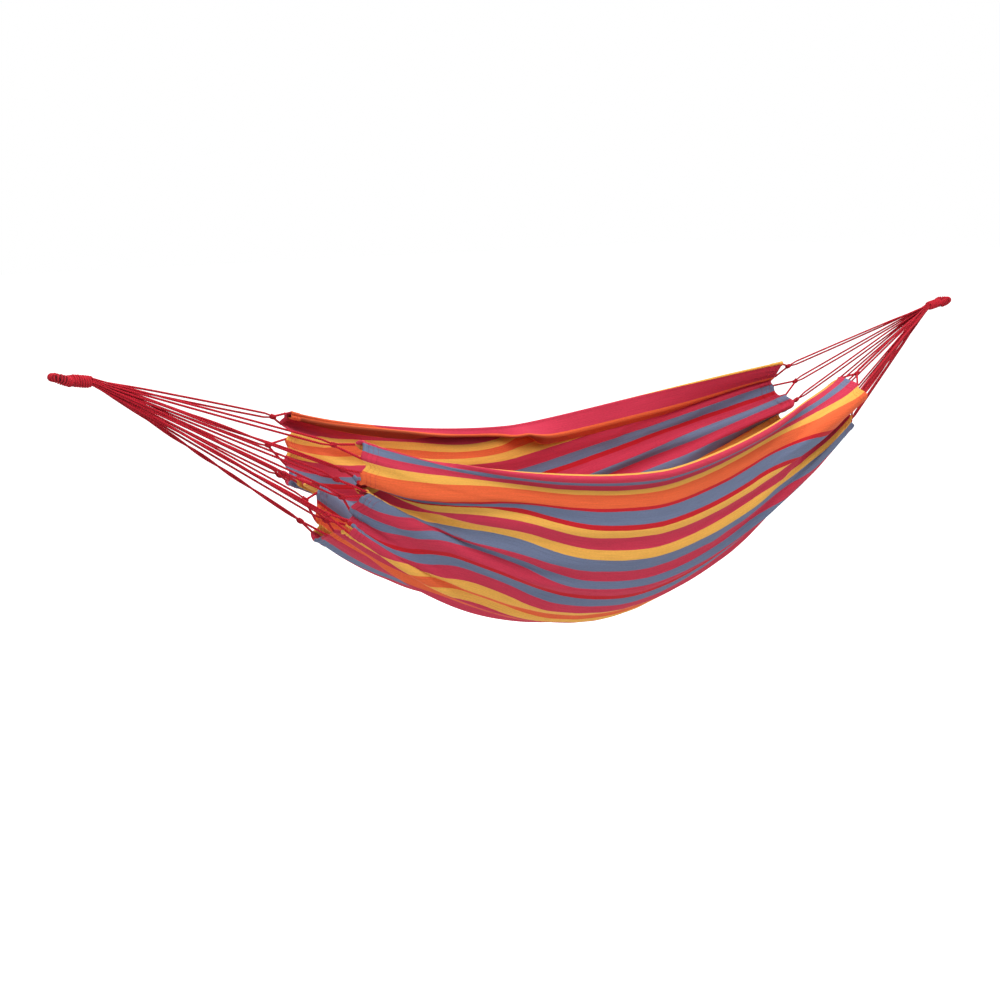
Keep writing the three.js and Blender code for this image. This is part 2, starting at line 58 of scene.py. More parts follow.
# ---- the hang of the cloth, as in the CAD part ----
SPAN = 3426.0
CLOTH_WIDTH = 1540.0
WALL_WIDTH = 1501.0       # from the near selvedge to the far fold
FOLD_RADIUS = 4.0
LINES = 12                # cords at each end
SECTION_PITCH = WALL_WIDTH / LINES
SECTION_MARGIN = 20.0
SECTION_RECESS = 9.0
GAP_RECESS = 14.0
KNOT_LENGTH = 20.0
STRAND_OFFSET = 2.55
KNOT_NEAR, KNOT_FAR = 44.0, 74.0
NECK_DROP = 18.0
COLLAR_START, COLLAR_END = 38.0, 89.0
NECK_PITCH = 4.06
BEND_LENGTH = 34.0

# Hem lines: row across the cloth, y, z, extra setback.
HEAD_HEM = [
    (0, -206, -240, 0), (28, -218, -222, 0), (52, -237, -219, 0), (77, -245, -240, 0),
    (107, -247, -263, 0), (136, -247, -291, 0), (172, -242, -318, 0), (198, -228, -330, 0),
    (231, -197, -316, 6), (268, -208, -341, 6), (300, -214, -357, 10), (340, -232, -352, 24),
    (385, -236, -362, 20), (430, -222, -382, 4), (466, -203, -399, 0), (500, -187, -424, 0),
    (540, -198, -446, 0), (580, -211, -458, 0), (612, -192, -474, 2), (650, -160, -452, 6),
    (690, -138, -478, 4), (730, -112, -478, 0), (764, -86, -492, 0), (800, -42, -508, 0),
    (829, -6, -522, 0), (850, 6, -505, 0), (888, -12, -472, 0), (946, -10, -419, 0),
    (985, -18, -378, 0), (1010, 10, -362, 2), (1049, 68, -374, 0), (1085, 96, -352, 0),
    (1125, 112, -386, 2), (1165, 136, -352, 4), (1215, 160, -384, 2), (1271, 176, -328, 0),
    (1313, 172, -290, 3), (1356, 171, -254, 0), (1376, 182, -238, 8), (1396, 204, -216, 0),
    (1440, 196, -198, 0), (1481, 180, -182, 0), (1501, 174, -178, 0),
]
FOOT_HEM = [
    (0, -140, -232, 0), (26, -158, -219, 0), (54, -188, -219, 0), (84, -218, -227, 0),
    (112, -246, -239, 0), (138, -270, -254, 0), (156, -273, -274, 0),
    (170, -246, -298, 0), (196, -206, -332, 2),
    (235, -166, -312, 6), (272, -140, -334, 6), (305, -168, -352, 6), (340, -202, -344, 4),
    (377, -216, -362, 2), (426, -199, -393, 0), (466, -152, -410, 0), (505, -116, -424, 4),
    (545, -112, -456, 4), (590, -82, -478, 0), (630, -58, -466, 4), (670, -40, -496, 2),
    (715, -8, -510, 0), (758, 16, -528, 0), (805, 30, -512, 0), (845, 14, -478, 4),
    (885, 40, -452, 4), (930, 74, -478, 0), (975, 98, -446, 0), (1015, 66, -420, 4),
    (1055, 78, -388, 4), (1095, 114, -402, 0), (1135, 122, -366, 0), (1175, 88, -350, 4),
    (1215, 58, -330, 2), (1255, 84, -300, 0), (1300, 124, -306, 0), (1345, 146, -278, 12),
    (1400, 144, -236, 0), (1455, 122, -203, 0), (1501, 96, -180, 0),
]
# The smooth lines that the hems' folds stray from: row, y, z.
HEAD_BASE = [(0, -240, -215), (375, -222, -372), (750, -70, -498), (1125, 96, -400), (1501, 180, -178)]
FOOT_BASE = [(0, -176, -210), (375, -196, -366), (750, -2, -512), (1125, 108, -372), (1501, 100, -186)]
HEM_LINES = {-1: HEAD_HEM, 1: FOOT_HEM}
HEAD_HEM_X, FOOT_HEM_X = 739.0, 2690.0
HEM_BELLY = 0.085
HEM_TOP_Z = -219.0
MID_NEAR, MID_FAR = (-366.0, -389.0), (403.0, -343.0)
MID_BOTTOM = -921.0
EDGE_SAG_POWER, BELLY_SAG_POWER = 1.55, 1.8
DEPTH_POWER = 1.82
FOOT_LIFT_NEAR, FOOT_LIFT_FAR, BELLY_LIFT = 34.0, 24.0, 15.0
HEAD_FOLD_REACH, FOOT_FOLD_REACH = 0.62, 0.55

# ---- sizes of the fine detail ----
CLOTH_HALF = 0.7          # half the thickness of the woven cloth
CREST_SPAN = 10.0         # rows given to the turn of the far fold
FLAP_SPAN = 100.0         # rows given to the turned-over far selvedge
FLAP_START = WALL_WIDTH + CREST_SPAN
SHEET_END = FLAP_START + FLAP_SPAN
HALF_BED = 975.0          # from mid-length to a hem, for distances in from the hems
HEM_START = 9.0           # the hem's faces run from this deep in the cloth to HEM_DEPTH
HEM_DEPTH = 44.0
STITCH_ROWS = (12.0, 25.0, 40.0)
TUNNEL_RADIUS = 5.6       # half the thickness of the hem's edge where a cord runs through it
EDGE_RADIUS = 1.8         # and where none does
STRAND_RADIUS = 3.3
LEG_RADIUS = 3.5

# Stripes from the near selvedge: one narrow edge stripe, then a repeat that fills the width twice.
EDGE_STRIPE = 12.0
STRIPE_REPEAT = 752.0
STRIPES = [
    (12, "pink"), (50, "grey"), (77, "pink"), (107, "amber"), (136, "orange"), (194, "red"),
    (203, "grey"), (250, "red"), (268, "amber"), (297, "pink"), (344, "amber"), (377, "grey"),
    (426, "pink"), (466, "grey"), (493, "pink"), (531, "red"), (545, "grey"), (574, "pink"),
    (612, "amber"), (641, "orange"), (670, "amber"), (692, "pink"), (724, "orange"),
]
DYES = {
    "pink": (0.58, 0.038, 0.080),
    "red": (0.55, 0.014, 0.024),
    "orange": (0.80, 0.132, 0.042),
    "amber": (0.86, 0.440, 0.084),
    "grey": (0.150, 0.190, 0.300),
}
WEFT_DYE = (0.50, 0.035, 0.05)
FAR_PINK, FAR_ORANGE = 1476.0, 1500.0     # the last two stripes at the far selvedge are wider


# ---- arithmetic ----
def lerp(a, b, t):
    return a + (b - a) * t


def smooth(t):
    t = np.clip(t, 0, 1)
    return t * t * (3 - 2 * t)


def rise(x, start, width):
    """Climbs smoothly from 0 at start to 1 at start + width."""
    return smooth((x - start) / width)


def fade(x, start, width):
    return 1 - rise(x, start, width)


def hump(x, middle, width):
    return np.exp(-((x - middle) / width) ** 2)


def unit(v):
    return v / np.linalg.norm(v, axis=-1, keepdims=True)


def run_of(path):
    """Distance along a path to each of its points."""
    return np.concatenate([[0], np.cumsum(np.linalg.norm(np.diff(path, axis=0), axis=1))])


def points_at(at, run, path):
    """Points that lie given distances along a path."""
    return np.stack([np.interp(at, run, column) for column in path.T], -1)


def along_keys(keys, row):
    """Smooth line through given points, by Hermite pieces."""
    keys = np.array(keys, float)
    x, v = keys[:, 0], keys[:, 1:]
    row = np.asarray(row, float)
    i = np.clip(np.searchsorted(x, row, side="left") - 1, 0, len(x) - 2)
    before, after = np.maximum(i - 1, 0), np.minimum(i + 2, len(x) - 1)
    step = x[i + 1] - x[i]
    t = np.clip((row - x[i]) / step, 0, 1)[..., None]
    slope_a = (v[i + 1] - v[before]) / (x[i + 1] - x[before])[..., None]
    slope_b = (v[after] - v[i]) / (x[after] - x[i])[..., None]
    step = step[..., None]
    return (lerp(v[i], v[i + 1], t * t * (3 - 2 * t))
            + t * (1 - t) * step * ((1 - t) * slope_a - t * slope_b))


# ---- the surface of the cloth ----
def mid_section(row):
    """The cloth's section at mid-length: y and z."""
    s = np.linspace(-1, 1, 401)
    side_y, side_z = np.where(s[:, None] < 0, MID_NEAR, MID_FAR).T
    y = side_y * np.sin(np.abs(s) * math.pi / 2)
    z = MID_BOTTOM + (side_z - MID_BOTTOM) * np.abs(s) ** DEPTH_POWER
    run = run_of(np.stack([y, z], -1))
    target = row / WALL_WIDTH * run[-1]
    return np.interp(target, run, y), np.interp(target, run, z)


def hem_bow(row):
    """The hem's edge is drawn back a little in the middle of each section, and more between two sections."""
    phase = row / SECTION_PITCH - np.floor(row / SECTION_PITCH)
    edge = SECTION_MARGIN / SECTION_PITCH
    inside = SECTION_RECESS * np.sin(np.pi * (phase - edge) / (1 - 2 * edge)) ** 2
    in_gap = np.where(phase < edge, 0.5 + 0.5 * phase / edge, 0.5 * (phase - 1 + edge) / edge)
    return np.where((phase > edge) & (phase < 1 - edge), inside, GAP_RECESS * np.sin(np.pi * in_gap) ** 2)


def hem_point(end, row):
    row = np.asarray(row, float)
    y, z, setback = np.moveaxis(along_keys(HEM_LINES[end], row), -1, 0)
    inward = setback + hem_bow(row) + HEM_BELLY * (z - HEM_TOP_Z)
    x = HEAD_HEM_X + inward if end < 0 else FOOT_HEM_X - inward
    return np.stack([x, y, z], -1)


def wall_point(u, row):
    """The cloth between the near selvedge and the far fold."""
    u, row = np.broadcast_arrays(np.asarray(u, float), np.asarray(row, float))
    head, foot = hem_point(-1, row), hem_point(1, row)
    head_base, foot_base = along_keys(HEAD_BASE, row), along_keys(FOOT_BASE, row)
    t = (u + 1)[..., None] / 2
    across = np.abs(2 * row / WALL_WIDTH - 1)
    sag = 1 - np.minimum(np.abs(u), 1) ** lerp(BELLY_SAG_POWER, EDGE_SAG_POWER, across ** 2)
    drop = np.stack([1 - u * u, sag], -1) * (np.stack(mid_section(row), -1) - (head_base + foot_base) / 2)
    place = (lerp(head_base, foot_base, t) + drop
             + fade(1 + u, 0, HEAD_FOLD_REACH)[..., None] * (head[..., 1:] - head_base)
             + fade(1 - u, 0, FOOT_FOLD_REACH)[..., None] * (foot[..., 1:] - foot_base))
    lift = np.where(row < WALL_WIDTH / 2, FOOT_LIFT_NEAR, FOOT_LIFT_FAR)
    place[..., 1] += lerp(BELLY_LIFT, lift, across ** 2) * u * (1 - u * u)
    return np.concatenate([lerp(head[..., :1], foot[..., :1], t), place], -1)


# The far selvedge turned over to the inside: station, width of the turned-over part, width of the part of it
# that curls under, how far that curls (1 is half a turn), and how far the rest tilts off the wall (radians).
FLAP = [
    (-1.0, 38, 32, 0.62, 1.20), (-0.65, 42, 35, 0.62, 1.25), (-0.48, 53, 39, 0.64, 1.10),
    (-0.40, 58, 38, 0.70, 0.95), (-0.31, 60, 38, 0.85, 0.75), (-0.216, 61, 40, 1.0, 0.55),
    (-0.06, 66, 38, 0.95, 0.55), (0.02, 94, 38, 0.90, 1.15), (0.055, 97, 38, 0.80, 1.03),
    (0.10, 98, 38, 0.50, 0.80), (0.16, 98, 38, 0.42, 0.55), (0.25, 98, 38, 0.36, 0.36),
    (0.5, 100, 38, 0.32, 0.24), (1.0, 107, 38, 0.30, 0.20),
]
CURL_TURN, TILT_TURN = 12.0, 7.0          # cloth taken up by the turn of the curl, and of the tilt
FLAP_PIECES = 24          # straight steps that follow the flap's curl
FALL_REACH = 45.0         # the wall's slope under the fold is taken over this width


def flap_keys(u):
    return np.moveaxis(along_keys(FLAP, np.clip(u, -1, 1)), -1, 0)


def cloth_point(u, row):
    """Any point of the cloth. Rows past the far fold turn over it and then run down the flap."""
    u, row = np.broadcast_arrays(np.asarray(u, float), np.asarray(row, float))
    point = wall_point(u, np.minimum(row, WALL_WIDTH))
    over = row > WALL_WIDTH
    if over.any():
        uo, ro = u[over], row[over] - WALL_WIDTH
        fold = wall_point(uo, WALL_WIDTH)
        fall = wall_point(uo, WALL_WIDTH - FALL_REACH) - fold
        fall[..., 0] = 0
        fall = unit(fall)
        inward = np.stack([np.zeros_like(fall[..., 0]), fall[..., 2], -fall[..., 1]], -1)
        angle = np.minimum(ro / CREST_SPAN, 1) * np.pi
        share = np.clip((ro - CREST_SPAN) / FLAP_SPAN, 0, 1)
        width, curled, curl, tilt = flap_keys(uo)
        length = (share * width)[:, None]
        at = length * (np.arange(FLAP_PIECES) + 0.5) / FLAP_PIECES
        heading = curl[:, None] * np.pi * rise(at, (width - curled)[:, None], CURL_TURN)
        turned = tilt[:, None] * smooth(at / TILT_TURN) - heading
        down = np.sum(np.cos(turned), -1) * length[:, 0] / FLAP_PIECES
        off = np.sum(np.sin(turned), -1) * length[:, 0] / FLAP_PIECES
        out = FOLD_RADIUS * (1 - np.cos(angle)) + off
        along = -FOLD_RADIUS * np.sin(angle) + down
        point = point.copy()
        point[over] = fold + inward * out[..., None] + fall * along[..., None]
    return point


def cloth_normal(u, row):
    """Unit normal, pointing into the pouch."""
    du, dr = 0.002, 1.5
    along = cloth_point(np.minimum(u + du, 1), row) - cloth_point(np.maximum(u - du, -1), row)
    lo, hi = np.maximum(row - dr, 0), np.minimum(row + dr, SHEET_END)
    return unit(np.cross(along, cloth_point(u, hi) - cloth_point(u, lo)))


# ---- folds of the cloth, and how the stripes run over them ----
# Extra cloth taken up across the bed by the rolled near lip and the slack below it: row, millimetres.
TAKEN = [
    (0, 0), (3, 9), (25, 25), (35, 42), (57, 54), (80, 78), (100, 84), (160, 92), (230, 97), (420, 99),
    (640, 78), (1160, 0), (1600, 0),
]
LIP_BULGE, LIP_FADE = 20.0, 0.55
LIP_AT, LIP_REACH = 14.0, 16.0
LIP_HOLLOW, LIP_HOLLOW_AT, LIP_HOLLOW_REACH = 0.6, 62.0, 24.0
TUCK_PLACE, TUCK_WIDTH = 198.0, 20.0      # the lap below the first panel hides this much more near the head
TUCK_TAKE, TUCK_FROM, TUCK_FADE = 64.0, -0.76, 0.52
TUCK_HEIGHT = 8.0
CORNER_TAKE, CORNER_REACH = 64.0, 0.36    # gathers at the far corner of the head hem
HEAD_CORNER, FOOT_CORNER = 15.0, 14.0     # edge cloth hidden in the hems' near corners
FAR_DIP = 16.0                            # the stripes sag this much under the far flap
HIDDEN_HEAD, HIDDEN_MID, HIDDEN_MORE = 26.0, 60.0, 40.0     # cloth hidden by the far flap
SPREAD_FROM, EDGE_FROM = 900.0, 1350.0    # the far stripes spread from these rows on


def lip_share(u):
    """The near lip rolls out between the hems and dies away at them."""
    return smooth((1 - np.abs(u)) / LIP_FADE)


def lip_bulge(u, row):
    """How far the near lip stands out of the wall, and the hollow below it."""
    hollow = hump(row, LIP_HOLLOW_AT, LIP_HOLLOW_REACH)
    return LIP_BULGE * lip_share(u) * (hump(row, LIP_AT, LIP_REACH) - LIP_HOLLOW * hollow)


def taken_up(u, row):
    table = np.array(TAKEN, float)
    return np.interp(row, table[:, 0], table[:, 1]) * lip_share(u)


def tuck_share(u):
    """The lap runs from the head hem and fades out along the bed."""
    return fade(u, TUCK_FROM, TUCK_FADE)


def tuck_crease(u, row):
    """The step in the cloth where the first panel laps over the next."""
    place = row + taken_up(u, row)
    step = hump(place, TUCK_PLACE + 6, 11.0) - 0.45 * hump(place, TUCK_PLACE - 18, 20.0)
    return TUCK_HEIGHT * tuck_share(u) * smooth((1 + u) / 0.15) * step


def stripe_place(u, row):
    """Distance across the cloth from the near selvedge, which the stripes follow."""
    u, row = np.broadcast_arrays(np.asarray(u, float), np.asarray(row, float))
    flap_width = flap_keys(u)[0]
    fold_at = CLOTH_WIDTH - flap_width
    hidden = lerp(HIDDEN_HEAD, HIDDEN_MID, rise(u, -1, 0.5)) + HIDDEN_MORE * rise(u, -0.45, 0.9)
    broad = CLOTH_WIDTH - hidden
    wall = row
    for start, spread in ((SPREAD_FROM, WALL_WIDTH - broad), (EDGE_FROM, broad - fold_at)):
        wall = wall - spread * (np.maximum(row - start, 0) / (WALL_WIDTH - start)) ** 2
    wall = wall + FAR_DIP * hump(u, -0.2, 0.22) * rise(row, 1370, 70) * fade(row, 1448, 50)
    wall = wall + taken_up(u, row)
    opening = smooth((1 + u) / lerp(0.09, 0.45, rise(row, 250, 300)))
    lapped = rise(wall, TUCK_PLACE, TUCK_WIDTH) * fade(row, 400, 460)
    wall = wall + TUCK_TAKE * tuck_share(u) * opening * lapped
    wall = wall + CORNER_TAKE * rise(row, 1120, 180) * fade(row, 1400, 100) * hump(u, -1, CORNER_REACH)
    corner = FOOT_CORNER * rise(u, 0.55, 0.4) + HEAD_CORNER * rise(-u, 0.5, 0.35)
    wall = np.maximum(wall - corner * fade(row, 36, 44), 0)
    share = np.clip((row - WALL_WIDTH) / (CREST_SPAN + FLAP_SPAN), 0, 1)
    return np.where(row <= WALL_WIDTH, wall, fold_at + share * flap_width)


FOLD_DEPTH, FOLD_PITCH = 6.5, 112.0
SIDE_FOLD, SIDE_FOLD_PITCH = 0.45, 67.0   # a finer fold laid over the first, as a share of its depth
FOLD_LEAN = 26.0
PUCKER, PUCKER_PITCH, PUCKER_REACH = 0.9, 21.0, 70.0
GATHER, GATHER_PITCH, GATHER_REACH = 1.6, 62.0, 260.0


def pull_folds(u, row):
    """Long shallow folds that run between the hems, deepest part way out and uneven across the bed."""
    reach = smooth((1 - np.abs(u)) / 0.3) * lerp(0.34, 1.0, rise(np.abs(u), 0.05, 0.5))
    inside = rise(row, 90, 90) * fade(row, 1380, 100)
    lean = FOLD_LEAN * np.sin(1.7 * u + row / 260.0)
    wave = np.sin(2 * np.pi * (row + lean) / FOLD_PITCH)
    wave = wave + SIDE_FOLD * np.sin(2 * np.pi * (row - lean) / SIDE_FOLD_PITCH + 1.0)
    return FOLD_DEPTH * reach * inside * wave


def relief(u, row):
    """The cloth's folds, and the puckers that run out from its stitched hems, along the normal."""
    depth = (1 - np.abs(u)) * HALF_BED
    pucker = PUCKER * np.sin(2 * np.pi * row / PUCKER_PITCH + 1.3 * np.sin(row / 37.0))
    gather = GATHER * np.sin(2 * np.pi * row / GATHER_PITCH + 0.8 * np.sin(row / 90.0))
    fine = pucker * np.exp(-depth / PUCKER_REACH) + gather * hump(depth, 0, GATHER_REACH)
    return fine + pull_folds(u, row) + tuck_crease(u, row) - lip_bulge(u, row)


def painted_fold_shade(u, row):
    """Painted shade for each point, from 0 to 1, on the inside of the cloth and on its outside: under the
    curled selvedge, on the wall below the far fold, in the lap and in the hollow below the near lip.
    """
    width, curled = flap_keys(u)[:2]
    on_flap = row > FLAP_START
    at = np.clip((row - FLAP_START) / FLAP_SPAN, 0, 1) * width
    # painted shade under the curled part of the flap
    under = rise(at, width - curled - 3, 6) * lerp(0.2, 1.0, fade(u, 0, 0.3))
    below = WALL_WIDTH - row
    reach = lerp(16.0, 46.0, hump(u, -0.2, 0.26))
    # painted shadow of the flap on the wall below the far fold
    shaded = (below > 0) * fade(below, reach, 22) * lerp(0.3, 1.0, hump(u, -0.22, 0.3))
    inside = np.where(on_flap, under, shaded * lerp(0.3, 1.0, fade(u, 0.1, 0.3)))
    # painted shade in the lap below the first panel and in the hollow below the near lip
    lap = hump(row + taken_up(u, row), TUCK_PLACE + 22, 22.0) * tuck_share(u) * (row < 400)
    lip = hump(row, LIP_HOLLOW_AT - 14, 16.0) * lip_share(u)
    outside = np.where(on_flap, under, 0.75 * lap + 0.42 * lip)
    return inside, np.clip(outside, 0, 1)


# ---- meshes ----
def placed(name, data):
    """An object that shows a mesh, light or camera, put in the scene."""
    made = bpy.data.objects.new(name, data)
    bpy.context.scene.collection.objects.link(made)
    return made


def build_mesh(name, points, faces, uv=None, shade=None, label="shade"):
    """A smooth mesh from points in millimetres and face arrays, with a UV and a shade for each point."""
    points = np.asarray(points, float).reshape(-1, 3) * MM
    fans = [np.stack(np.broadcast_arrays(f[:, :1], f[:, 1:-1], f[:, 2:]), -1).reshape(-1, 3) for f in faces]
    a, b, c = (points[np.concatenate(fans)[:, k]] - points.mean(0) for k in range(3))
    if np.sum(np.cross(a, b) * c) < 0:
        faces = [f[:, ::-1] for f in faces]
    mesh = bpy.data.meshes.new(name)
    mesh.from_pydata(points, [], [corners for f in faces for corners in f.tolist()], shade_flat=False)
    if uv is not None:
        layer = mesh.uv_layers.new(name="Thread")
        corners = np.concatenate([f.ravel() for f in faces])
        layer.data.foreach_set("uv", np.asarray(uv, float).reshape(-1, 2)[corners].ravel())
    if shade is not None:
        attribute = mesh.attributes.new(label, "FLOAT", "POINT")
        attribute.data.foreach_set("value", np.asarray(shade, np.float32).ravel())
    mesh.validate()
    return placed(name, mesh)


def grid_faces(rows, columns, wrap=False):
    """Quads of a grid whose points are stored row by row; wrap joins the last column to the first."""
    r = np.arange(rows - 1)[:, None]
    c = np.arange(columns if wrap else columns - 1)[None, :]
    n = (c + 1) % columns
    quads = (r * columns + c, r * columns + n, (r + 1) * columns + n, (r + 1) * columns + c)
    return np.stack(np.broadcast_arrays(*quads), -1).reshape(-1, 4)


def joined(parts):
    """Joins (points, faces, uv, shade) parts into one."""
    points, faces, uvs, shades = zip(*parts)
    points = [p.reshape(-1, 3) for p in points]
    bases = np.cumsum([0] + [len(p) for p in points])
    faces = [f + base for part, base in zip(faces, bases) for f in part]
    uvs = [uv.reshape(-1, 2) for uv in uvs]
    return np.concatenate(points), faces, np.concatenate(uvs), np.concatenate([s.ravel() for s in shades])


def tangents(path):
    ahead = np.concatenate([path[1:], path[-1:]])
    back = np.concatenate([path[:1], path[:-1]])
    return unit(ahead - back)


def resample(path, step):
    run = run_of(path)
    count = max(2, int(round(run[-1] / step)) + 1)
    return points_at(np.linspace(0, run[-1], count), run, path)


def blur_weights(half):
    weights = np.hanning(2 * half + 3)[1:-1]
    return weights / weights.sum()


def rounded(path, step, reach):
    """The path with its corners eased over about reach, and its two ends kept."""
    fine = resample(np.asarray(path, float), step)
    half = max(1, int(round(reach / step)))
    padded = np.concatenate([2 * fine[0] - fine[half:0:-1], fine, 2 * fine[-1] - fine[-2:-half - 2:-1]])
    return np.stack([np.convolve(column, blur_weights(half), mode="valid") for column in padded.T], -1)


GROOVE, FINE_GROOVE = 0.16, 0.22          # depth of the grooves between up to three plies, and between more
# painted shade on the cords' end caps
END_SHADE = 0.3


def twisted_tube(path, radius, up, plies, pitch, sides, start_turn=0.0):
    """A cord laid up from plies along the path: points, faces, uv and a painted shade that is dark in the
    grooves.
    """
    count = len(path)
    tangent = tangents(path)
    up = np.broadcast_to(up, path.shape)
    normal = unit(up - tangent * np.sum(up * tangent, -1, keepdims=True))
    side = np.cross(tangent, normal)
    run = run_of(path)
    around = np.linspace(0, 2 * np.pi, sides, endpoint=False)
    lobe = np.abs(np.cos(plies * around / 2))
    profile = 1 - (GROOVE if plies <= 3 else FINE_GROOVE) * (1 - lobe) ** 1.4
    radius = np.broadcast_to(radius, (count,))
    angle = around[None, :] + (start_turn + 2 * np.pi * run / pitch)[:, None]
    ring = radius[:, None] * profile[None, :]
    points = (path[:, None] + normal[:, None] * (ring * np.cos(angle))[..., None]
              + side[:, None] * (ring * np.sin(angle))[..., None])
    ends = np.stack([path[0] - tangent[0] * radius[0] * 0.5, path[-1] + tangent[-1] * radius[-1] * 0.5])
    points = np.concatenate([points.reshape(-1, 3), ends])
    uv = np.stack(np.broadcast_arrays(run[:, None] * MM, around[None] / (2 * np.pi)), -1).reshape(-1, 2)
    shade = np.broadcast_to(lobe[None, :], angle.shape)
    k = np.arange(sides)
    n = (k + 1) % sides
    first, last = count * sides, count * sides + 1
    base = (count - 1) * sides
    faces = [grid_faces(count, sides, wrap=True)[:, ::-1], np.stack([np.full(sides, first), k, n], -1),
             np.stack([np.full(sides, last), base + n, base + k], -1)]
    return (points, faces, np.concatenate([uv, uv[[0, base]]]),
            np.concatenate([shade.ravel(), [END_SHADE, END_SHADE]]))


# ---- materials ----
def feed(node, values):
    """Sets or links a node's inputs, given by number or name."""
    for key, value in values.items():
        if isinstance(value, bpy.types.NodeSocket):
            node.id_data.links.new(value, node.inputs[key])
        else:
            node.inputs[key].default_value = value


class Nodes:
    """Short ways to add and join shader nodes."""

    def __init__(self, name):
        self.material = bpy.data.materials.new(name)
        self.material.use_nodes = True
        self.nodes = self.material.node_tree.nodes

    def add(self, kind, *values, **settings):
        """A new node with its first inputs filled."""
        node = self.nodes.new("ShaderNode" + kind)
        for key, value in settings.items():
            setattr(node, key, value)
        feed(node, dict(enumerate(values)))
        return node.outputs

    def math(self, operation, *values):
        return self.add("Math", *values, operation=operation)[0]

    def times(self, a, b):
        return self.math("MULTIPLY", a, b)

    def sine(self, a):
        return self.math("SINE", a)

    def mix(self, share, a, b, blend="MIX"):
        a, b = ((*value, 1) if isinstance(value, tuple) else value for value in (a, b))
        return self.add("MixRGB", share, a, b, blend_type=blend)[0]

    def span(self, *values):
        """Maps a value from one range, low and high, to another."""
        return self.add("MapRange", *values)[0]

    def toned(self, colour, tone):
        return self.mix(1.0, colour, self.add("CombineXYZ", tone, tone, tone)[0], "MULTIPLY")

    def grain(self, x, x_scale, y, y_scale, detail):
        """Noise that is finer one way than the other."""
        place = self.add("CombineXYZ", self.times(x, x_scale), self.times(y, y_scale))[0]
        return self.add("TexNoise", place, 0.0, 1.0, detail)["Fac"]

    def attribute(self, name):
        return self.add("Attribute", attribute_name=name)["Fac"]

    def thread_uv(self):
        return self.add("SeparateXYZ", self.add("UVMap", uv_map="Thread")[0])[:2]

    def finish(self, colour, height, distance, roughness, strength, sheen):
        bump = self.nodes.new("ShaderNodeBump")
        feed(bump, {"Strength": strength, "Distance": distance, "Height": height})
        feed(self.nodes["Principled BSDF"], {
            "Normal": bump.outputs[0], "Base Color": colour, "Roughness": roughness,
            "Specular IOR Level": 0.12, "Sheen Weight": sheen, "Sheen Roughness": 0.5,
        })
        return self.material


WARP_PITCH = 1.5 * MM
WEFT_PITCH = 1.9 * MM
PAINTED_SHADE_TONE = 0.42        # painted shade: cloth deep in a fold or under the curled selvedge is drawn this much darker
YARNS = 10                # round a cord
YARN_PITCH = 5.0 * MM


def cloth_material():
    """Canvas woven with dyed warp stripes over a red weft."""
    n = Nodes("striped_canvas")
    along, across = n.thread_uv()
    wander = n.math("MULTIPLY_ADD", n.grain(along, 30.0, across, 300.0, 3.0), 0.0016, -0.0008)
    across_soft = n.math("ADD", across, wander)
    repeat = STRIPE_REPEAT * MM
    lap = n.math("FLOORED_MODULO", n.math("SUBTRACT", across_soft, EDGE_STRIPE * MM), repeat)
    ramp = n.nodes.new("ShaderNodeValToRGB")
    ramp.color_ramp.interpolation = "CONSTANT"
    stops = ramp.color_ramp.elements
    stops.remove(stops[1])
    stops[0].position = 0.0
    for start, dye in STRIPES:
        place = (start - EDGE_STRIPE) / STRIPE_REPEAT
        stop = stops.new(place) if place > 0 else stops[0]
        stop.color = (*DYES[dye], 1)
    feed(ramp, {0: n.math("DIVIDE", lap, repeat)})
    dyed = n.mix(n.math("LESS_THAN", across, EDGE_STRIPE * MM), ramp.outputs[0], DYES["amber"])
    dyed = n.mix(n.math("GREATER_THAN", across_soft, FAR_PINK * MM), dyed, DYES["pink"])
    dyed = n.mix(n.math("GREATER_THAN", across_soft, FAR_ORANGE * MM), dyed, DYES["orange"])
    warp = n.sine(n.times(across, math.pi / WARP_PITCH))
    weft = n.sine(n.times(along, math.pi / WEFT_PITCH))
    ribs = n.math("MULTIPLY_ADD", n.math("ABSOLUTE", warp), 0.55, 0.2)
    height = n.math("MULTIPLY_ADD", n.times(warp, weft), 0.45, ribs)
    streak = n.span(n.grain(along, 9.0, across, 700.0, 4.0), 0.3, 0.7, 0.86, 1.12)
    slub = n.span(n.grain(along, 120.0, across, 620.0, 2.0), 0.25, 0.75, 0.88, 1.1)
    # painted shade between the threads, where the weave sinks
    weave_painted_shade = n.span(height, 0.0, 0.35, 0.62, 1.0)
    # the hollow attribute carries painted shade, which darkens the colour
    hollow = n.span(n.attribute("hollow"), 0.0, 1.0, 1.0, PAINTED_SHADE_TONE)
    colour = n.mix(n.span(height, 0.05, 0.3, 0.32, 0.0), dyed, WEFT_DYE)
    # the yarns' own tone, times painted shade in the weave and in the folds
    colour = n.toned(colour, n.times(n.times(n.times(streak, slub), weave_painted_shade), hollow))
    return n.finish(colour, height, 0.45 * MM, roughness=0.9, strength=0.55, sheen=0.05)


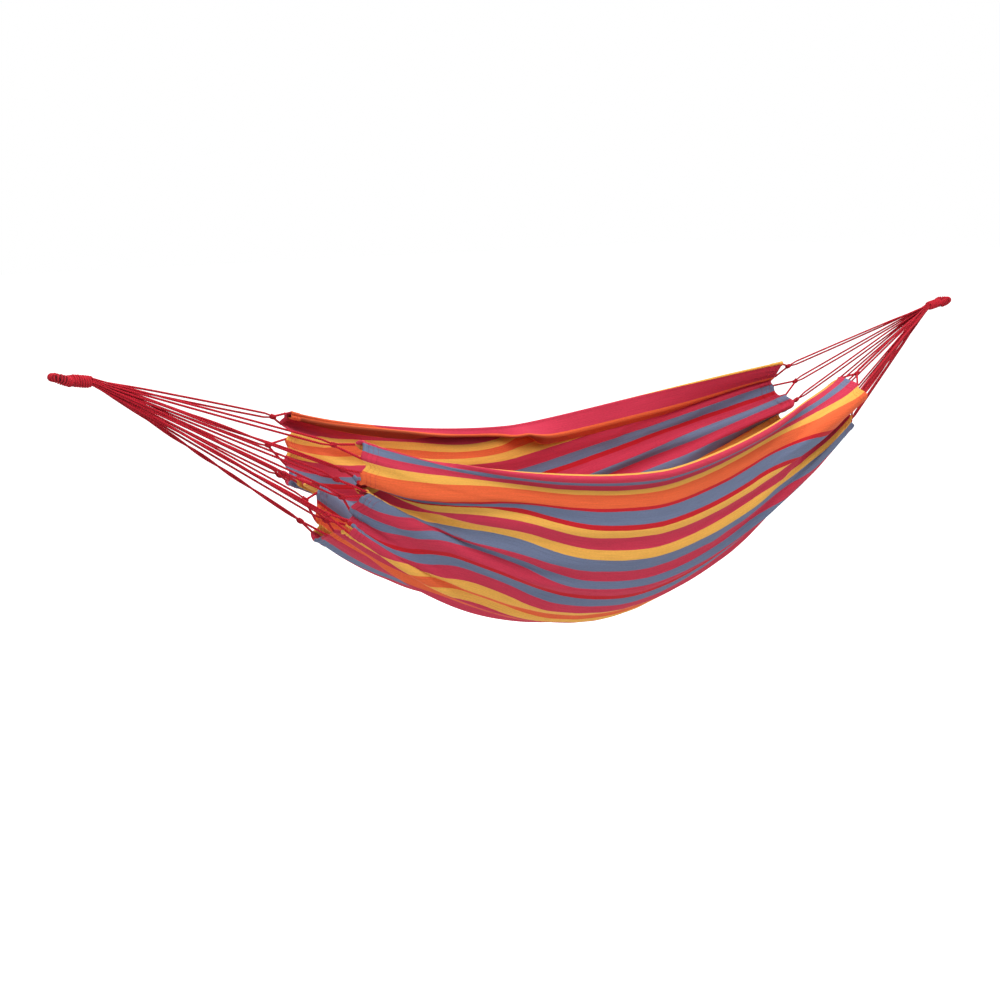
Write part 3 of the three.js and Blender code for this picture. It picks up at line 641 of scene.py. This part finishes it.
def cord_material(name, light, dark):
    """Twisted cotton: yarns laid round each ply, with painted shade down in the grooves and between the
    yarns.
    """
    n = Nodes(name)
    along, around = n.thread_uv()
    lay = n.math("ADD", n.times(around, 2 * math.pi * YARNS), n.times(along, 2 * math.pi / YARN_PITCH))
    yarn = n.math("MULTIPLY_ADD", n.sine(lay), 0.5, 0.5)
    fuzz = n.grain(along, 900.0, around, 14.0, 4.0)
    slow = n.grain(along, 40.0, around, 2.0, 2.0)
    # painted shade: low in the grooves between plies and a little lower between yarns, where the dark colour
    # takes over
    depth = n.times(n.span(n.attribute("shade"), 0.0, 0.75, 0.0, 1.0), n.span(yarn, 0.0, 1.0, 0.82, 1.0))
    tone = n.times(n.span(fuzz, 0.3, 0.7, 0.9, 1.1), n.span(slow, 0.3, 0.7, 0.88, 1.12))
    colour = n.toned(n.mix(depth, dark, light), tone)
    height = n.math("MULTIPLY_ADD", fuzz, 0.4, yarn)
    return n.finish(colour, height, 0.25 * MM, roughness=0.85, strength=0.5, sheen=0.08)


CLOTH = cloth_material()
# each cord's colour, then the dark colour that is painted as shade in its grooves
CORD = cord_material("twisted_cord", (0.62, 0.014, 0.032), (0.17, 0.005, 0.012))
WHIPPING = cord_material("whipping_cord", (0.64, 0.018, 0.036), (0.18, 0.005, 0.012))
KNOT = cord_material("knot_cord", (0.56, 0.013, 0.028), (0.14, 0.004, 0.010))
# the eye's rope and neck bundle are drawn far darker than the cords: painted shade where they show between
# the turns of the whipping
PAINTED_SHADE_BUNDLE = cord_material("eye_bundle_painted_shade", (0.20, 0.006, 0.013), (0.05, 0.002, 0.005))
THREAD = cord_material("stitching_thread", (0.46, 0.016, 0.035), (0.20, 0.008, 0.018))


def add_piece(name, tube, material, slot, body, *nodes):
    """A piece with its material, the CAD nodes it stands for and the body it rides on; its slot is not used.
    """
    piece = build_mesh(name, *tube)
    piece.data.materials.append(material)
    if nodes:
        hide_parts(*nodes)
    if body:
        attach(piece, body)
    return piece


# ---- the bed ----
ROW_STEP = 8.4
LIP_ROWS, TUCK_ROWS = 72.0, 250.0         # rows are three times as close over the lip, then twice as close
COLUMNS = 220
HEM_GAP = 0.006


OVER_ROWS = np.concatenate([WALL_WIDTH + CREST_SPAN * np.array([0.2, 0.4, 0.6, 0.8]),
                            FLAP_START + FLAP_SPAN * np.linspace(0, 1, 23)])


def sheet_rows():
    wall = np.linspace(0, WALL_WIDTH, int(round(WALL_WIDTH / ROW_STEP)) + 1)
    lip, tuck = np.arange(0, LIP_ROWS, ROW_STEP / 3), np.arange(LIP_ROWS, TUCK_ROWS, ROW_STEP / 2)
    wall = np.unique(np.concatenate([wall, lip, tuck]).round(2))
    wall = wall[np.concatenate([[True], np.diff(wall) > 1.2])]
    return np.concatenate([wall, OVER_ROWS])


def sheet_columns():
    """Stations from hem to hem, closer together near the hems."""
    t = np.linspace(-1, 1, COLUMNS)
    return lerp(t, np.sin(t * np.pi / 2), 0.28) * (1 - HEM_GAP)


SIM_ROWS, SIM_COLUMNS = 76, 124
SIM_FRAMES = 36
SIM_PINNED = 0.97         # the cloth is held beyond this station at both ends
SIM_SETTINGS = {
    "vertex_group_mass": "hems", "quality": 7, "mass": 0.02, "air_damping": 4.0, "tension_stiffness": 30.0,
    "compression_stiffness": 30.0, "shear_stiffness": 8.0, "bending_stiffness": 0.02,
    "shrink_min": -0.012,     # the cloth is cut this much larger than its smooth shape
}
WRINKLE_CAP = 9.0
WRINKLE_PASS = (5, 9)     # rows and columns over which the broad sag is taken back out


def smoothed(field, reach_rows, reach_columns):
    """Blurs a grid of vectors along its two axes."""
    out = field
    for axis, reach in ((0, reach_rows), (1, reach_columns)):
        pad = [(0, 0)] * out.ndim
        pad[axis] = (reach, reach)
        padded = np.pad(out, pad, mode="edge")
        index = np.arange(out.shape[axis])
        out = sum(w * np.take(padded, index + k, axis) for k, w in enumerate(blur_weights(reach)))
    return out


def settled():
    """Lets a slack copy of the cloth settle between its hems; its wrinkles, in millimetres on a grid."""
    columns = np.linspace(-1, 1, SIM_COLUMNS)
    rows = np.linspace(0, WALL_WIDTH, SIM_ROWS)
    u, row = np.meshgrid(columns, rows)
    start = cloth_point(u, row) + cloth_normal(u, row) * relief(u, row)[..., None]
    piece = build_mesh("settling_cloth", start, [grid_faces(SIM_ROWS, SIM_COLUMNS)])
    pins = piece.vertex_groups.new(name="hems")
    pins.add([int(i) for i in np.flatnonzero(np.abs(u) > SIM_PINNED)], 1.0, "REPLACE")
    cloth = piece.modifiers.new("settle", "CLOTH")
    for key, value in SIM_SETTINGS.items():
        setattr(cloth.settings, key, value)
    cloth.collision_settings.use_collision = False
    cloth.point_cache.frame_start = 1
    cloth.point_cache.frame_end = SIM_FRAMES
    scene = bpy.context.scene
    for number in range(1, SIM_FRAMES + 1):
        scene.frame_set(number)
    result = piece.evaluated_get(bpy.context.evaluated_depsgraph_get()).to_mesh()
    settled_points = np.empty(start.size)
    result.vertices.foreach_get("co", settled_points)
    moved = settled_points.reshape(start.shape) / MM - start
    scene.frame_set(1)
    bpy.data.objects.remove(piece)
    fine = moved - smoothed(moved, *WRINKLE_PASS)
    size = np.linalg.norm(fine, axis=-1, keepdims=True)
    fine *= WRINKLE_CAP * np.tanh(size / WRINKLE_CAP) / np.maximum(size, 1e-6)
    hold = smooth((1 - np.abs(u)) / 0.12) * smooth(row / 110) * smooth((WALL_WIDTH - row) / 110)
    return rows, columns, smoothed(fine, 1, 1) * hold[..., None]


def wrinkles_at(settled_cloth, u, row):
    """The settled wrinkles at any station and row."""
    rows, columns, field = settled_cloth
    r = np.clip(row / WALL_WIDTH, 0, 1) * (len(rows) - 1)
    c = (np.clip(u, -1, 1) + 1) / 2 * (len(columns) - 1)
    r0, c0 = np.minimum(r.astype(int), len(rows) - 2), np.minimum(c.astype(int), len(columns) - 2)
    fr, fc = smooth(r - r0)[..., None], smooth(c - c0)[..., None]
    low = lerp(field[r0, c0], field[r0, c0 + 1], fc)
    return lerp(low, lerp(field[r0 + 1, c0], field[r0 + 1, c0 + 1], fc), fr)


def bed():
    u, row = np.meshgrid(sheet_columns(), sheet_rows())
    middle = cloth_point(u, row) + cloth_normal(u, row) * relief(u, row)[..., None]
    middle = middle + wrinkles_at(settled(), u, row)
    normal = unit(np.cross(np.gradient(middle, axis=1), np.gradient(middle, axis=0)))
    R, C = u.shape
    steps = np.linalg.norm(np.diff(middle, axis=1), axis=-1)
    run = np.concatenate([np.zeros((R, 1)), np.cumsum(steps, axis=1)], 1)
    uv = np.stack([run, stripe_place(u, row)], -1) * MM
    face = grid_faces(R, C)
    under = R * C
    rim = np.concatenate([np.arange(C - 1), np.arange(R - 1) * C + C - 1,
                          (R - 1) * C + np.arange(C - 1, 0, -1), np.arange(R - 1, 0, -1) * C])
    ahead = np.roll(rim, -1)
    edge = np.stack([rim, under + rim, under + ahead, ahead], -1)
    points = np.stack([middle + normal * CLOTH_HALF, middle - normal * CLOTH_HALF])
    faces = [face, under + face[:, ::-1], edge]
    # painted shade goes into the hollow attribute
    sheet = (points, faces, np.stack([uv, uv]), np.stack(painted_fold_shade(u, row)), "hollow")
    add_piece("striped_bed", sheet, CLOTH, "cloth", "bed", "bed_cloth")


def hem_u(end, row, depth):
    """Station that lies a given depth in from the hem line."""
    span = np.linalg.norm(cloth_point(end, row) - cloth_point(end * 0.99, row), axis=-1) / 0.01
    return end * (1 - depth / span)


def tunnel_radius(row):
    """Half the thickness of the hem's edge: a round tunnel over each cord, a plain fold between them."""
    phase = row % SECTION_PITCH
    inside = np.minimum(phase - SECTION_MARGIN, SECTION_PITCH - SECTION_MARGIN - phase)
    return np.where(row > WALL_WIDTH, EDGE_RADIUS, lerp(EDGE_RADIUS, TUNNEL_RADIUS, rise(inside, -1, 3)))


def hem_rows():
    """Rows for the hem, with closer ones where each tunnel opens."""
    edges = []
    for line in range(LINES):
        for mouth in (line * SECTION_PITCH + SECTION_MARGIN, (line + 1) * SECTION_PITCH - SECTION_MARGIN):
            edges += [mouth + d for d in (-1.5, -0.5, 0.5, 1.5, 2.5)]
    rows = np.concatenate([np.arange(0, WALL_WIDTH, 4.4), edges, [WALL_WIDTH], OVER_ROWS])
    return np.unique(np.round(rows, 2))


def hem_height(depth):
    """Half the thickness of the folded hem: pulled in at each row of stitches and at its inner edge."""
    stations = [HEM_START, 12.0, 18.5, 25.0, 32.5, 40.0, 42.5, HEM_DEPTH]
    heights = [2.3, 1.45, 2.35, 1.45, 2.35, 1.45, 1.6, 0.95]
    return np.interp(depth, stations, heights)


def hem_band(end):
    """The cloth folded back and stitched down at the hem, with a tunnel for each cord."""
    rows = hem_rows()
    depths = [HEM_DEPTH, 42.5, 41, 40, 39, 36, 32.5, 28.5, 26, 25, 24, 21.5, 18.5, 15, 13, 12, 11, HEM_START]
    edge = cloth_point(end, rows)
    inward = unit(cloth_point(hem_u(end, rows, 3.0), rows) - edge)
    normal = cloth_normal(hem_u(end, rows, 2.5), rows)
    normal = unit(normal - inward * np.sum(normal * inward, -1, keepdims=True))
    faces_in, faces_out, stripes = [], [], []
    for depth in depths:
        u = hem_u(end, rows, depth)
        for face, height in ((faces_in, hem_height(depth)), (faces_out, -hem_height(depth))):
            face.append(cloth_point(u, rows) + cloth_normal(u, rows) * (relief(u, rows) + height)[..., None])
        stripes.append(stripe_place(u, rows))
    radius = tunnel_radius(rows)

    blunt, thinner = np.zeros_like(radius), lerp(radius, 2.2, 0.35)
    turn = [(radius * math.cos(a), radius * math.sin(a)) for a in np.radians(np.linspace(62, -62, 9))]
    turn = [(blunt - 4.5, thinner), (blunt, radius), *turn, (blunt, -radius), (blunt - 4.5, -thinner)]
    arc = [edge - inward * out[:, None] + normal * height[:, None] for out, height in turn]
    points = np.stack(faces_in + arc + faces_out[::-1], 1)
    K = points.shape[1]
    stripes = np.stack(stripes + [stripe_place(hem_u(end, rows, 0.0), rows)] * len(arc) + stripes[::-1], 1)
    run = np.concatenate([depths, np.linspace(5, -9, len(arc) // 2 + 1)])
    run = np.concatenate([run, run[::-1]])[:K]
    uv = np.stack(np.broadcast_arrays(run[None], stripes), -1) * MM
    ring = np.arange(K)[None]
    faces = [grid_faces(len(rows), K, wrap=True), ring[:, ::-1], (len(rows) - 1) * K + ring]
    add_piece(END_NAMES[end] + "_hem", (points, faces, uv), CLOTH, "cloth", "bed")


STITCH_LENGTH = 3.3
STITCH_STEP = 4.3
STITCH_SIDES = 6
THREAD_RADIUS = 0.42
STITCH_PROFILE = np.array([(-1, 0.15), (-0.75, 0.8), (0, 1), (0.75, 0.8), (1, 0.15)])


def hem_stitching(end):
    """Three rows of stitches on both faces of the hem, one small bead of thread for each stitch."""
    centres = np.arange(3.0, SHEET_END - 3.0, STITCH_STEP)
    around = np.linspace(0, 2 * np.pi, STITCH_SIDES, endpoint=False)
    ring = np.arange(STITCH_SIDES)[None]
    faces = [grid_faces(len(STITCH_PROFILE), STITCH_SIDES, wrap=True)[:, ::-1], ring,
             (len(STITCH_PROFILE) - 1) * STITCH_SIDES + ring[:, ::-1]]
    run = STITCH_PROFILE[:, :1] * STITCH_LENGTH / 2
    radius = (STITCH_PROFILE[:, 1] * THREAD_RADIUS)[:, None, None]
    uv = np.stack(np.broadcast_arrays(run * MM, around[None] / (2 * np.pi)), -1)
    # painted shade: each stitch darkens towards its ends, where it dips into the cloth
    shade = np.broadcast_to(STITCH_PROFILE[:, 1:], uv.shape[:2])
    parts = []
    for depth in STITCH_ROWS:
        u = hem_u(end, centres, depth)
        place = cloth_point(u, centres)
        n = cloth_normal(u, centres)
        along = unit(cloth_point(u, np.minimum(centres + 2, SHEET_END)) - cloth_point(u, centres - 2))
        side = np.cross(along, n)
        for sign in (1, -1):
            middle = place + n * (relief(u, centres) + sign * (hem_height(depth) + 0.12))[:, None]
            for m, a, up, across in zip(middle, along, n, side):
                out = np.cos(around)[:, None] * up + np.sin(around)[:, None] * across
                parts.append(((m + a * run)[:, None] + radius * out, faces, uv, shade))
    add_piece(END_NAMES[end] + "_hem_stitching", joined(parts), THREAD, "cord", "bed")


SELVEDGE_SIDES = 10
SELVEDGE_STRIPE = 4.0     # millimetres of the stripes that show round the edge


def selvedge(name, row, radius):
    """The woven edge of the cloth, a little thicker than the cloth beside it."""
    columns = np.linspace(-1, 1, 420)
    rows = np.full_like(columns, row)
    normal = cloth_normal(columns, rows)
    path = cloth_point(columns, rows) + normal * relief(columns, rows)[:, None]
    points, faces, uv, shade = twisted_tube(path, radius, normal, 1, 1e6, SELVEDGE_SIDES)
    stripe = np.repeat(stripe_place(columns, rows), SELVEDGE_SIDES)
    uv[:-2, 1] = (stripe + (uv[:-2, 1] - 0.5) * SELVEDGE_STRIPE) * MM
    uv[-2:, 1] = row * MM
    add_piece(name, (points, faces, uv, shade), CLOTH, "cloth", "bed")


# ---- cords ----
UP = np.array([0.0, 0.0, 1.0])
LEVEL = np.array([0.0, 1.0, 0.0])
# Whole turns that the two strands of each cord make round each other, cord by cord.
PAIR_TURNS = {-1: (0, 1, 0, 0, 1, 0, 2, 0, 1, 0, 0, 0), 1: (0, 0, 0, 0, 1, 0, 0, 0, 0, 0, 0, 0)}
PAIR_BOW = 3.2            # the two strands of a pair stand this much further apart between knot and collar
PAIR_REACH = 3.4          # strands that wind round each other stay within this of their middle
PAIR_LEAN = 0.75          # how far the pairs turn upright, one strand above the other
RANDOM_SEEDS = {-1: 7, 1: 11}


def neck_point(end, along, y, z):
    return np.array([along if end < 0 else SPAN - along, y, z - NECK_DROP])


def neck_slots():
    """Places for the strands inside the collar, packed round the middle."""
    found = []
    for i in range(-6, 7):
        for j in range(-6, 7):
            y = (i + j / 2 - 0.5) * NECK_PITCH
            z = (j - 1 / 3) * math.sqrt(3) / 2 * NECK_PITCH
            found.append((math.hypot(y, z) + 1e-4 * i + 1e-6 * j, y, z))
    return [place[1:] for place in sorted(found)[:2 * LINES]]


def best_seats(ends, slots):
    """Gives each strand the slot nearest its own side, by swapping pairs while that shortens the way."""
    seat = list(range(len(ends)))

    def cost(i, s):
        return (ends[i][0] - slots[s][0]) ** 2 + (ends[i][1] - slots[s][1]) ** 2

    swapped = True
    while swapped:
        swapped = False
        for i in range(len(seat)):
            for j in range(i + 1, len(seat)):
                now = cost(i, seat[i]) + cost(j, seat[j])
                if cost(i, seat[j]) + cost(j, seat[i]) < now - 1e-6:
                    seat[i], seat[j] = seat[j], seat[i]
                    swapped = True
    return seat


def cord_layout(end):
    """Where each cord's knot and hem tips are, and the seats of its two strands in the collar."""
    neck = neck_point(end, COLLAR_END + 4, 0, 0)
    lines = []
    for line in range(LINES):
        rows = (line * SECTION_PITCH + SECTION_MARGIN, (line + 1) * SECTION_PITCH - SECTION_MARGIN)
        a, b = hem_point(end, rows[0]), hem_point(end, rows[1])
        aim = unit((a + b) / 2 - neck)
        knot = (a + b) / 2 - aim * (KNOT_NEAR if line % 2 else KNOT_FAR)
        across = b - a
        across = unit(across - aim * (across @ aim))
        lines.append({"rows": rows, "aim": aim, "knot": knot, "across": across})
    mean = unit(sum(l["aim"] for l in lines))
    lift = unit(np.cross(mean, LEVEL))
    lift = lift if lift[2] > 0 else -lift
    bend = neck + mean * BEND_LENGTH
    slots = neck_slots()
    ends = []
    for l in lines:
        for sign in (-1, 1):
            rel = l["knot"] + l["across"] * sign * STRAND_OFFSET - bend
            ends.append((rel @ LEVEL, rel @ lift))
    seat = best_seats(ends, slots)
    for i, l in enumerate(lines):
        l["slots"] = [slots[seat[2 * i]], slots[seat[2 * i + 1]]]
        l["bends"] = [bend + LEVEL * 1.3 * y + lift * 1.3 * z for y, z in l["slots"]]
    return lines


def strand_paths(end, l, turns):
    """The two strands of a cord, from inside the collar to inside the knot."""
    paths = []
    for (y, z), bend, offset in zip(l["slots"], l["bends"], (-STRAND_OFFSET, STRAND_OFFSET)):
        in_knot = l["knot"] + l["across"] * offset
        path = [neck_point(end, COLLAR_END - 24, y, z), neck_point(end, COLLAR_END + 2, y, z), bend,
                in_knot - l["aim"] * KNOT_LENGTH, in_knot + l["aim"] * KNOT_LENGTH / 2]
        paths.append(resample(np.array(path), 1.0))
    count = min(len(p) for p in paths)
    paths = [rounded(resample(p, 1.0), 1.0, 13.0)[:count] for p in paths]
    count = min(len(p) for p in paths)
    t = np.linspace(0, 1, count)
    paths = [points_at(t, np.linspace(0, 1, len(p)), p) for p in paths]
    middle = (paths[0] + paths[1]) / 2
    offset = (paths[1] - paths[0]) / 2
    tangent = tangents(middle)
    offset = offset - tangent * np.sum(offset * tangent, -1, keepdims=True)
    apart = np.linalg.norm(offset, axis=-1)
    if turns:
        free = rise(t, 0.12, 0.2) * smooth((0.97 - t) / 0.1)
        apart = lerp(apart, np.clip(apart, STRAND_OFFSET, PAIR_REACH), free)
    else:
        apart = apart + PAIR_BOW * smooth((0.99 - t) / 0.06) * smooth(t / 0.75)
    direction = unit(offset)
    upright = unit(UP - tangent * tangent[:, 2:])
    if direction[-40] @ upright[-40] < 0:
        upright = -upright
    share = PAIR_LEAN * rise(t, 0.08, 0.3) * smooth((0.99 - t) / 0.07)
    direction = unit(lerp(direction, upright, share[:, None]))
    side = np.cross(tangent, direction)
    angle = (2 * np.pi * turns * rise(t, 0.1, 0.85))[:, None]
    turned = (direction * np.cos(angle) + side * np.sin(angle)) * apart[:, None]
    return [middle - turned, middle + turned]


def hem_loop(end, l):
    """From the knot to one hem tip, through the tunnel and back to the knot."""
    tunnel = hem_point(end, np.linspace(*l["rows"], 12))
    roots = [l["knot"] + l["across"] * sign * STRAND_OFFSET * 1.1 + l["aim"] * 3.0 for sign in (-1, 1)]
    return rounded(np.concatenate([[roots[0]], tunnel, [roots[1]]]), 1.0, 5.0)


KNOT_TURNS, BACK_TURNS = 4.6, 0.45
KNOT_CORD_RADIUS = 2.25


def knot_wraps(l):
    """Cord seized round the two strands, with its last turn laid over the others."""
    half = KNOT_LENGTH / 2 - 0.8
    t = np.linspace(0, 1, 110)
    back = np.linspace(0, 1, 30)[1:]
    angle = 2 * np.pi * np.concatenate([KNOT_TURNS * t, KNOT_TURNS + BACK_TURNS * back])
    along = np.concatenate([lerp(-half, half, t), lerp(half, -half - 4.0, back)])
    swell = 3.9 + 1.3 * np.sin(np.pi * t) ** 0.8
    radius = np.concatenate([swell, lerp(swell[-1], 5.2, back) + 2.0 * np.sin(np.pi * back)])
    radius[:8] = np.linspace(1.6, swell[8], 8)
    radius[-8:] = np.linspace(radius[-8], 2.0, 8)
    up = np.cross(l["aim"], l["across"])
    out = l["across"] * 1.12 * np.cos(angle)[:, None] + up * np.sin(angle)[:, None]
    return l["knot"] + l["aim"] * along[:, None] + out * radius[:, None], out


def cords(end):
    name = END_NAMES[end]
    random = np.random.default_rng(RANDOM_SEEDS[end])
    for i, l in enumerate(cord_layout(end)):
        number = f"{i + 1:02d}"
        up = np.cross(l["aim"], l["across"])
        parts = []
        for path in strand_paths(end, l, PAIR_TURNS[end][i]):
            t = np.linspace(0, 1, len(path))
            radius = lerp(1.95, STRAND_RADIUS, rise(t, 0.02, 0.2) * (1 - 0.3 * rise(t, 0.9, 0.08)))
            parts.append(twisted_tube(path[::2], radius[::2], up, 3, 17.0, 12, random.uniform(0, 6)))
        loop = hem_loop(end, l)
        parts.append(twisted_tube(loop[::2], LEG_RADIUS, up, 3, 24.0, 14, random.uniform(0, 6)))
        cord = add_piece(f"{name}_twisted_cord_{number}", joined(parts), CORD, "cord", None,
                         f"{name}_cord_{number}")
        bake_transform(cord)
        path, out = knot_wraps(l)
        tube = twisted_tube(path, KNOT_CORD_RADIUS, out, 2, 14.0, 10)
        add_piece(f"{name}_tied_knot_{number}", tube, KNOT, "knot", "bed", f"{name}_knot_{number}")


# ---- eyes ----
# Half of the eye, from the crown down one leg: x, y and the radius of its rope.
EYE_HALF = [
    (-9.7, 0, 7.2), (-9.0, 8.5, 7.2), (-5, 16, 7.4), (3, 20.5, 8.4), (12, 20.5, 9.4), (22, 16.5, 9.8),
    (29, 12.8, 9.0), (38, 8.4, 7.2), (68, 6.0, 5.4),
]
EYE_TAIL = 36.0           # the ends of the eye's rope that its whipping leaves bare, inside the collar
WHIP_RADIUS = 2.5
WHIP_PITCH, CROWN_PITCH = 5.5, 1.2        # from turn to turn, and what is added to it round the crown
COLLAR_CORD_RADIUS = 3.1
COLLAR_RADIUS, COLLAR_TURNS = 13.8, 9.4
COLLAR_LIFT = 7.0         # the collar's whipping rises towards the loop
COLLAR_OPEN = 20.0        # and widens over this length to take both legs of the eye


def eye_line(end):
    """The middle of the rope that forms the eye, from one tail round the crown to the other."""
    half = [(x, -y, r) for x, y, r in EYE_HALF[:0:-1]] + EYE_HALF
    rises = [NECK_DROP * (1 - np.clip(x / COLLAR_START, 0, 1)) for x, y, r in half]
    path = np.array([neck_point(end, x, y, z) for (x, y, r), z in zip(half, rises)])
    line = rounded(path, 0.5, 5.0)
    run = run_of(path)
    return line, np.interp(np.linspace(0, run[-1], len(line)), run, [r for x, y, r in half])


def eye_whipping(name, line, rope_radius):
    """Cord wound close round the eye's rope."""
    tangent = tangents(line)
    normal = unit(UP - tangent * (tangent @ UP)[:, None])
    run = run_of(line)
    crown = run[-1] / 2
    away = np.linspace(EYE_TAIL - crown, crown - EYE_TAIL, 6001)
    pitch = WHIP_PITCH + CROWN_PITCH * hump(away, 0, 34.0)
    turns = np.concatenate([[0], np.cumsum(2 / (pitch[1:] + pitch[:-1]) * np.diff(away))])
    turn = np.linspace(0, turns[-1], int(turns[-1] * 22))
    at = np.interp(turn, turns, away) + crown
    angle = turn * 2 * np.pi
    n = unit(points_at(at, run, normal))
    s = unit(points_at(at, run, np.cross(tangent, normal)))
    out = n * np.cos(angle)[:, None] + s * np.sin(angle)[:, None]
    wobble = 1 + 0.02 * np.sin(angle * 0.37) + 0.015 * np.sin(angle * 1.13)
    reach = (np.interp(at, run, rope_radius) - 0.4 + WHIP_RADIUS * 0.72) * wobble
    path = points_at(at, run, line) + out * reach[:, None]
    tube = twisted_tube(path, WHIP_RADIUS, out, 3, 16.0, 10)
    add_piece(name + "_eye_whipping", tube, WHIPPING, "serving", "eyes", name + "_eye_serving")


def collar_whipping(name, end):
    """Cord wound round the neck of the eye, where its legs and the strands of the cords meet."""
    first, last = COLLAR_START - 8.0, COLLAR_END + 2.0
    t = np.linspace(0, 1, 640)
    x = lerp(first, last, t)
    opening = fade(x, first, COLLAR_OPEN)
    reach = COLLAR_RADIUS - 2.6 * opening - 1.9 * rise(x, 76.0, 15.0) + 0.3 * np.sin(t * 31.0)
    angle = 2 * np.pi * COLLAR_TURNS * t
    out = np.stack([np.zeros_like(t), np.cos(angle) * (1 + 0.62 * opening), np.sin(angle)], -1)
    lift = COLLAR_LIFT * fade(x, first, last - first)
    path = np.stack([x if end < 0 else SPAN - x, np.zeros_like(t), lift - NECK_DROP], -1)
    path = path + out * reach[:, None]
    tube = twisted_tube(path, COLLAR_CORD_RADIUS, unit(out), 3, 15.0, 10)
    add_piece(name + "_collar_whipping", tube, WHIPPING, "serving", "eyes", name + "_collar")


def eye(end):
    name = END_NAMES[end]
    line, rope_radius = eye_line(end)
    tube = twisted_tube(line[::2], rope_radius[::2], UP, 3, 60.0, 18)
    add_piece(name + "_eye_rope", tube, PAINTED_SHADE_BUNDLE, "eye_core", "eyes", name + "_eye_core")
    eye_whipping(name, line, rope_radius)
    collar_whipping(name, end)
    t = np.linspace(0, 1, 24)
    path = np.stack([neck_point(end, x, 0, 0) for x in np.linspace(COLLAR_START - 5, COLLAR_END - 2, 24)])
    path[:, 2] += COLLAR_LIFT * (1 - t)
    radius = np.interp(t, [0, 0.25, 0.75, 1], [9.5, 13.4, 13.4, 11.8])
    tube = twisted_tube(path, radius, UP, 9, 300.0, 54)
    add_piece(name + "_neck_bundle", tube, PAINTED_SHADE_BUNDLE, "eye_core", "eyes")


# ---- build ----
bed()
for hammock_end in (-1, 1):
    hem_band(hammock_end)
    hem_stitching(hammock_end)
    cords(hammock_end)
    eye(hammock_end)
selvedge("near_selvedge", 0.0, 1.5)
selvedge("far_selvedge", SHEET_END, 1.3)


# ---- stage, in metres ----
FLOOR_REACH, FLOOR_Z = 40.0, -1.75
BED_CENTRE = Vector((1.71, 0.0, -0.45))
LAMPS = [                 # name, place, size, power
    ("key", (-0.4, -2.8, 3.4), 2.0, 155.0),
    ("fill", (4.4, -3.4, 1.4), 2.6, 34.0),
    ("top", (1.9, 0.2, 3.2), 2.2, 95.0),
]
CAMERA_PLACE = (-1.5022, -3.948, 0.4558)
CAMERA_AZIMUTH, CAMERA_ELEVATION, CAMERA_ROLL = (math.radians(a) for a in (-36.01, 10.981, -1.1377))
CAMERA_LENS, CAMERA_SENSOR = 58.743, 36.0


def only_for_camera(tree, shown, otherwise, output):
    """Gives an output two shaders: one that the camera sees, one that lights the scene."""
    path = tree.nodes.new("ShaderNodeLightPath")
    mix = tree.nodes.new("ShaderNodeMixShader")
    feed(mix, {0: path.outputs["Is Camera Ray"], 1: otherwise.outputs[0], 2: shown.outputs[0]})
    feed(tree.nodes[output], {0: mix.outputs[0]})


def pale_floor():
    material = bpy.data.materials.new("pale_floor")
    material.use_nodes = True
    tree = material.node_tree
    shader = tree.nodes["Principled BSDF"]
    feed(shader, {"Base Color": (0.9, 0.9, 0.9, 1), "Roughness": 0.9, "Specular IOR Level": 0.1})
    glow = tree.nodes.new("ShaderNodeEmission")
    feed(glow, {"Strength": 0.9})
    lit = tree.nodes.new("ShaderNodeAddShader")
    feed(lit, {0: shader.outputs[0], 1: glow.outputs[0]})
    only_for_camera(tree, lit, shader, "Material Output")
    mesh = bpy.data.meshes.new("floor")
    corners = [(x * FLOOR_REACH, y * FLOOR_REACH, FLOOR_Z) for x, y in ((-1, -1), (1, -1), (1, 1), (-1, 1))]
    mesh.from_pydata(corners, [], [(0, 1, 2, 3)])
    mesh.materials.append(material)
    placed("floor", mesh)


def light():
    """A white world that looks brighter than it lights, and three soft lamps."""
    world = bpy.data.worlds.new("studio")
    bpy.context.scene.world = world
    world.use_nodes = True
    tree = world.node_tree
    ambient = tree.nodes["Background"]
    feed(ambient, {"Color": (1, 1, 1, 1), "Strength": 0.44})
    backdrop = tree.nodes.new("ShaderNodeBackground")
    feed(backdrop, {"Color": (1, 1, 1, 1), "Strength": 1.0})
    only_for_camera(tree, backdrop, ambient, "World Output")
    for name, place, size, power in LAMPS:
        data = bpy.data.lights.new(name, "AREA")
        data.shape = "SQUARE"
        data.size = size
        data.energy = power
        lamp = placed(name, data)
        lamp.location = place
        lamp.rotation_mode = "QUATERNION"
        lamp.rotation_quaternion = (BED_CENTRE - Vector(place)).to_track_quat("-Z", "Y")


def camera():
    """The photograph's view: from the near side towards the head, a little above the eyes."""
    turn = (Matrix.Rotation(CAMERA_AZIMUTH, 3, "Z") @ Matrix.Rotation(math.pi / 2 - CAMERA_ELEVATION, 3, "X")
            @ Matrix.Rotation(CAMERA_ROLL, 3, "Z"))
    data = bpy.data.cameras.new("camera")
    data.sensor_width = CAMERA_SENSOR
    data.lens = CAMERA_LENS
    data.clip_end = 200
    view = placed("camera", data)
    view.matrix_world = Matrix.Translation(CAMERA_PLACE) @ turn.to_4x4()
    bpy.context.scene.camera = view


pale_floor()
light()
camera()
bpy.context.scene.view_settings.view_transform = "Standard"
